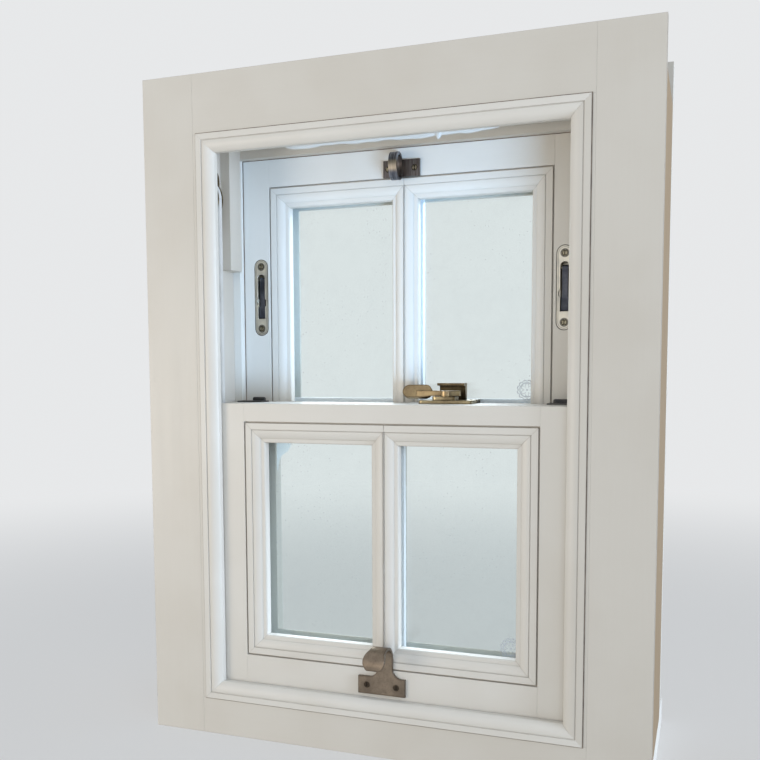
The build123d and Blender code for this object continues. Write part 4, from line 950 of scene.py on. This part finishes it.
def sky_node(kind, settings=None, **sockets):
    """Adds a node to the surround: its settings first, then plain values on its sockets."""
    made = sky.nodes.new(kind)
    for key, value in (settings or {}).items():
        setattr(made, key, value)
    for key, value in sockets.items():
        made.inputs[key].default_value = value
    return made


lit = sky_node("ShaderNodeBackground", Color=(0.90, 0.95, 1.0, 1.0), Strength=0.55)
seen = sky_node("ShaderNodeBackground", Color=(*BACKGROUND, 1.0), Strength=1.0)
rays = sky_node("ShaderNodeLightPath")
looked_at = rays.outputs["Is Camera Ray"]
for ray in ("Is Glossy Ray", "Is Transmission Ray"):
    either = sky_node("ShaderNodeMath", {"operation": "MAXIMUM"})
    sky.links.new(looked_at, either.inputs[0])
    sky.links.new(rays.outputs[ray], either.inputs[1])
    looked_at = either.outputs[0]
shown = sky_node("ShaderNodeMixShader")
sky.links.new(looked_at, shown.inputs[0])
sky.links.new(lit.outputs[0], shown.inputs[1])
sky.links.new(seen.outputs[0], shown.inputs[2])
sky_end = sky_node("ShaderNodeOutputWorld")
sky.links.new(shown.outputs[0], sky_end.inputs["Surface"])
print("surround:", world.name, BACKGROUND)

# %% [markdown]
# ## Lamps
# A lamp here is a square soft box with a place, a size, a power, a colour and a point that it looks at. One
# helper makes it, and a second one gives it a list of pieces, the only ones that it lights.

# %% Lamps
MIDDLE = (0.0, 0.0, 0.32)


def soft_lamp(name, place, size, power, colour, aim=MIDDLE):
    """A square soft box that looks at the window."""
    data = bpy.data.lights.new(name, "AREA")
    data.shape = "SQUARE"
    data.size = size
    data.energy = power
    data.color = colour
    lamp = bpy.data.objects.new(name, data)
    bpy.context.scene.collection.objects.link(lamp)
    turn = (Vector(aim) - Vector(place)).to_track_quat("-Z", "Y")
    lamp.matrix_world = Matrix.Translation(place) @ turn.to_matrix().to_4x4()
    lamp.visible_camera = False
    lamp.visible_transmission = False
    return lamp


def lit_only(lamp, name, pieces):
    """Lets a lamp light these pieces alone."""
    lit_pieces = bpy.data.collections.new(name)
    for piece in pieces:
        lit_pieces.objects.link(piece)
    lamp.light_linking.receiver_collection = lit_pieces


soft_lamp("room_light", (1.2, -2.1, 1.7), 2.0, 14.0, (0.82, 0.91, 1.0))
low_light = soft_lamp("low_light", (-1.35, -1.5, 0.10), 0.8, 20.0, (1.0, 0.88, 0.74), (0.0, 0.0, 0.10))
day_light = soft_lamp("day_light", (0.6, 1.0, 1.2), 1.2, 46.0, (0.70, 0.84, 1.0))
back_light = soft_lamp("back_light", (-0.9, 1.7, 0.9), 1.2, 17.0, (0.92, 0.96, 1.0))
reveal_light = soft_lamp("reveal_light", (1.6, 0.55, 0.5), 0.4, 18.0, (0.66, 0.82, 1.0), (-0.1, 0.03, 0.35))
side_light = soft_lamp("side_light", (1.7, -0.35, 0.40), 0.5, 29.0, (0.66, 0.80, 1.0), (-0.17, -0.07, 0.35))
recess_light = soft_lamp("recess_light", (0.6, -0.62, 0.1), 0.4, 13.0, (0.42, 0.67, 1.0), (-0.08, -0.03, 0.5))
print("lamps:", len(bpy.data.lights))

# %% Which pieces each lamp lights
IN_RECESS = ("upper_", "parting_bead_left", "parting_bead_right", "head_filler", "restrictor", "pulley_cases")
DAYLIT = ("lower_glazing_beads", "upper_glazing_beads", "lower_spacers", "upper_spacers",
          "lower_meeting_rail")
REVEALS = ("stile_left", "stile_right", "glazing_bar", "bottom_rail", "meeting_rail", "top_rail",
           "outside_linings")
window = [piece for piece in bpy.data.objects if piece.type == "MESH" and not piece.name.endswith("_glass")]
recess = [piece for piece in window if piece.name.startswith(IN_RECESS) and piece.name != "upper_screws"]
daylit = [piece for piece in window if piece.name in DAYLIT]
reveals = [piece for piece in window if piece.name.endswith(REVEALS) and not piece.name.startswith("pulley")]
left_side = [piece for piece in window if "right" not in piece.name and "lining" not in piece.name]
lit_only(recess_light, "recess", recess)
lit_only(day_light, "daylit", daylit)
lit_only(reveal_light, "reveals", reveals)
lit_only(low_light, "window_low_light", window)
lit_only(back_light, "window_back_light", window)
lit_only(side_light, "left_side", left_side)
print("pieces lit apart:", len(recess), len(daylit), len(reveals), len(left_side), "of", len(window))

# %% [markdown]
# ## Floor
# A pale floor that takes the window's shadow. Half of its brightness is its own glow, and towards its far
# edge all of it is, so that it ends in the background without a line.

# %% Floor
FLOOR_HALF = 12.0
FADE = (0.5, 2.0)


def ground():
    """A dull floor mixed with its own glow: share = 0.5 near the window, growing to 1 in the distance."""
    f = Finish("pale_floor")
    reach = f.node("ShaderNodeVectorMath", {"operation": "LENGTH"}, {0: f.place()}, out="Value")
    matt = f.node("ShaderNodeBsdfDiffuse", {}, {"Color": (0.72, 0.72, 0.72)})
    glow = f.node("ShaderNodeEmission", {}, {"Color": BACKGROUND, "Strength": 1.0})
    own_glow = 0.5 + 0.5 * f.smooth(reach, *FADE)
    return f.done(f.node("ShaderNodeMixShader", {}, {0: own_glow, 1: matt, 2: glow}))


corners = [(-FLOOR_HALF, -FLOOR_HALF, 0), (FLOOR_HALF, -FLOOR_HALF, 0),
           (FLOOR_HALF, FLOOR_HALF, 0), (-FLOOR_HALF, FLOOR_HALF, 0)]
floor_mesh = bpy.data.meshes.new("floor")
floor_mesh.from_pydata(corners, [], [(0, 1, 2, 3)])
floor = bpy.data.objects.new("floor", floor_mesh)
bpy.context.scene.collection.objects.link(floor)
floor_mesh.materials.append(ground())
print("floor:", floor.name)

# %% [markdown]
# ## Finish
# The picture keeps the colours as they are written.

# %% Finish
bpy.context.scene.view_settings.view_transform = "Standard"
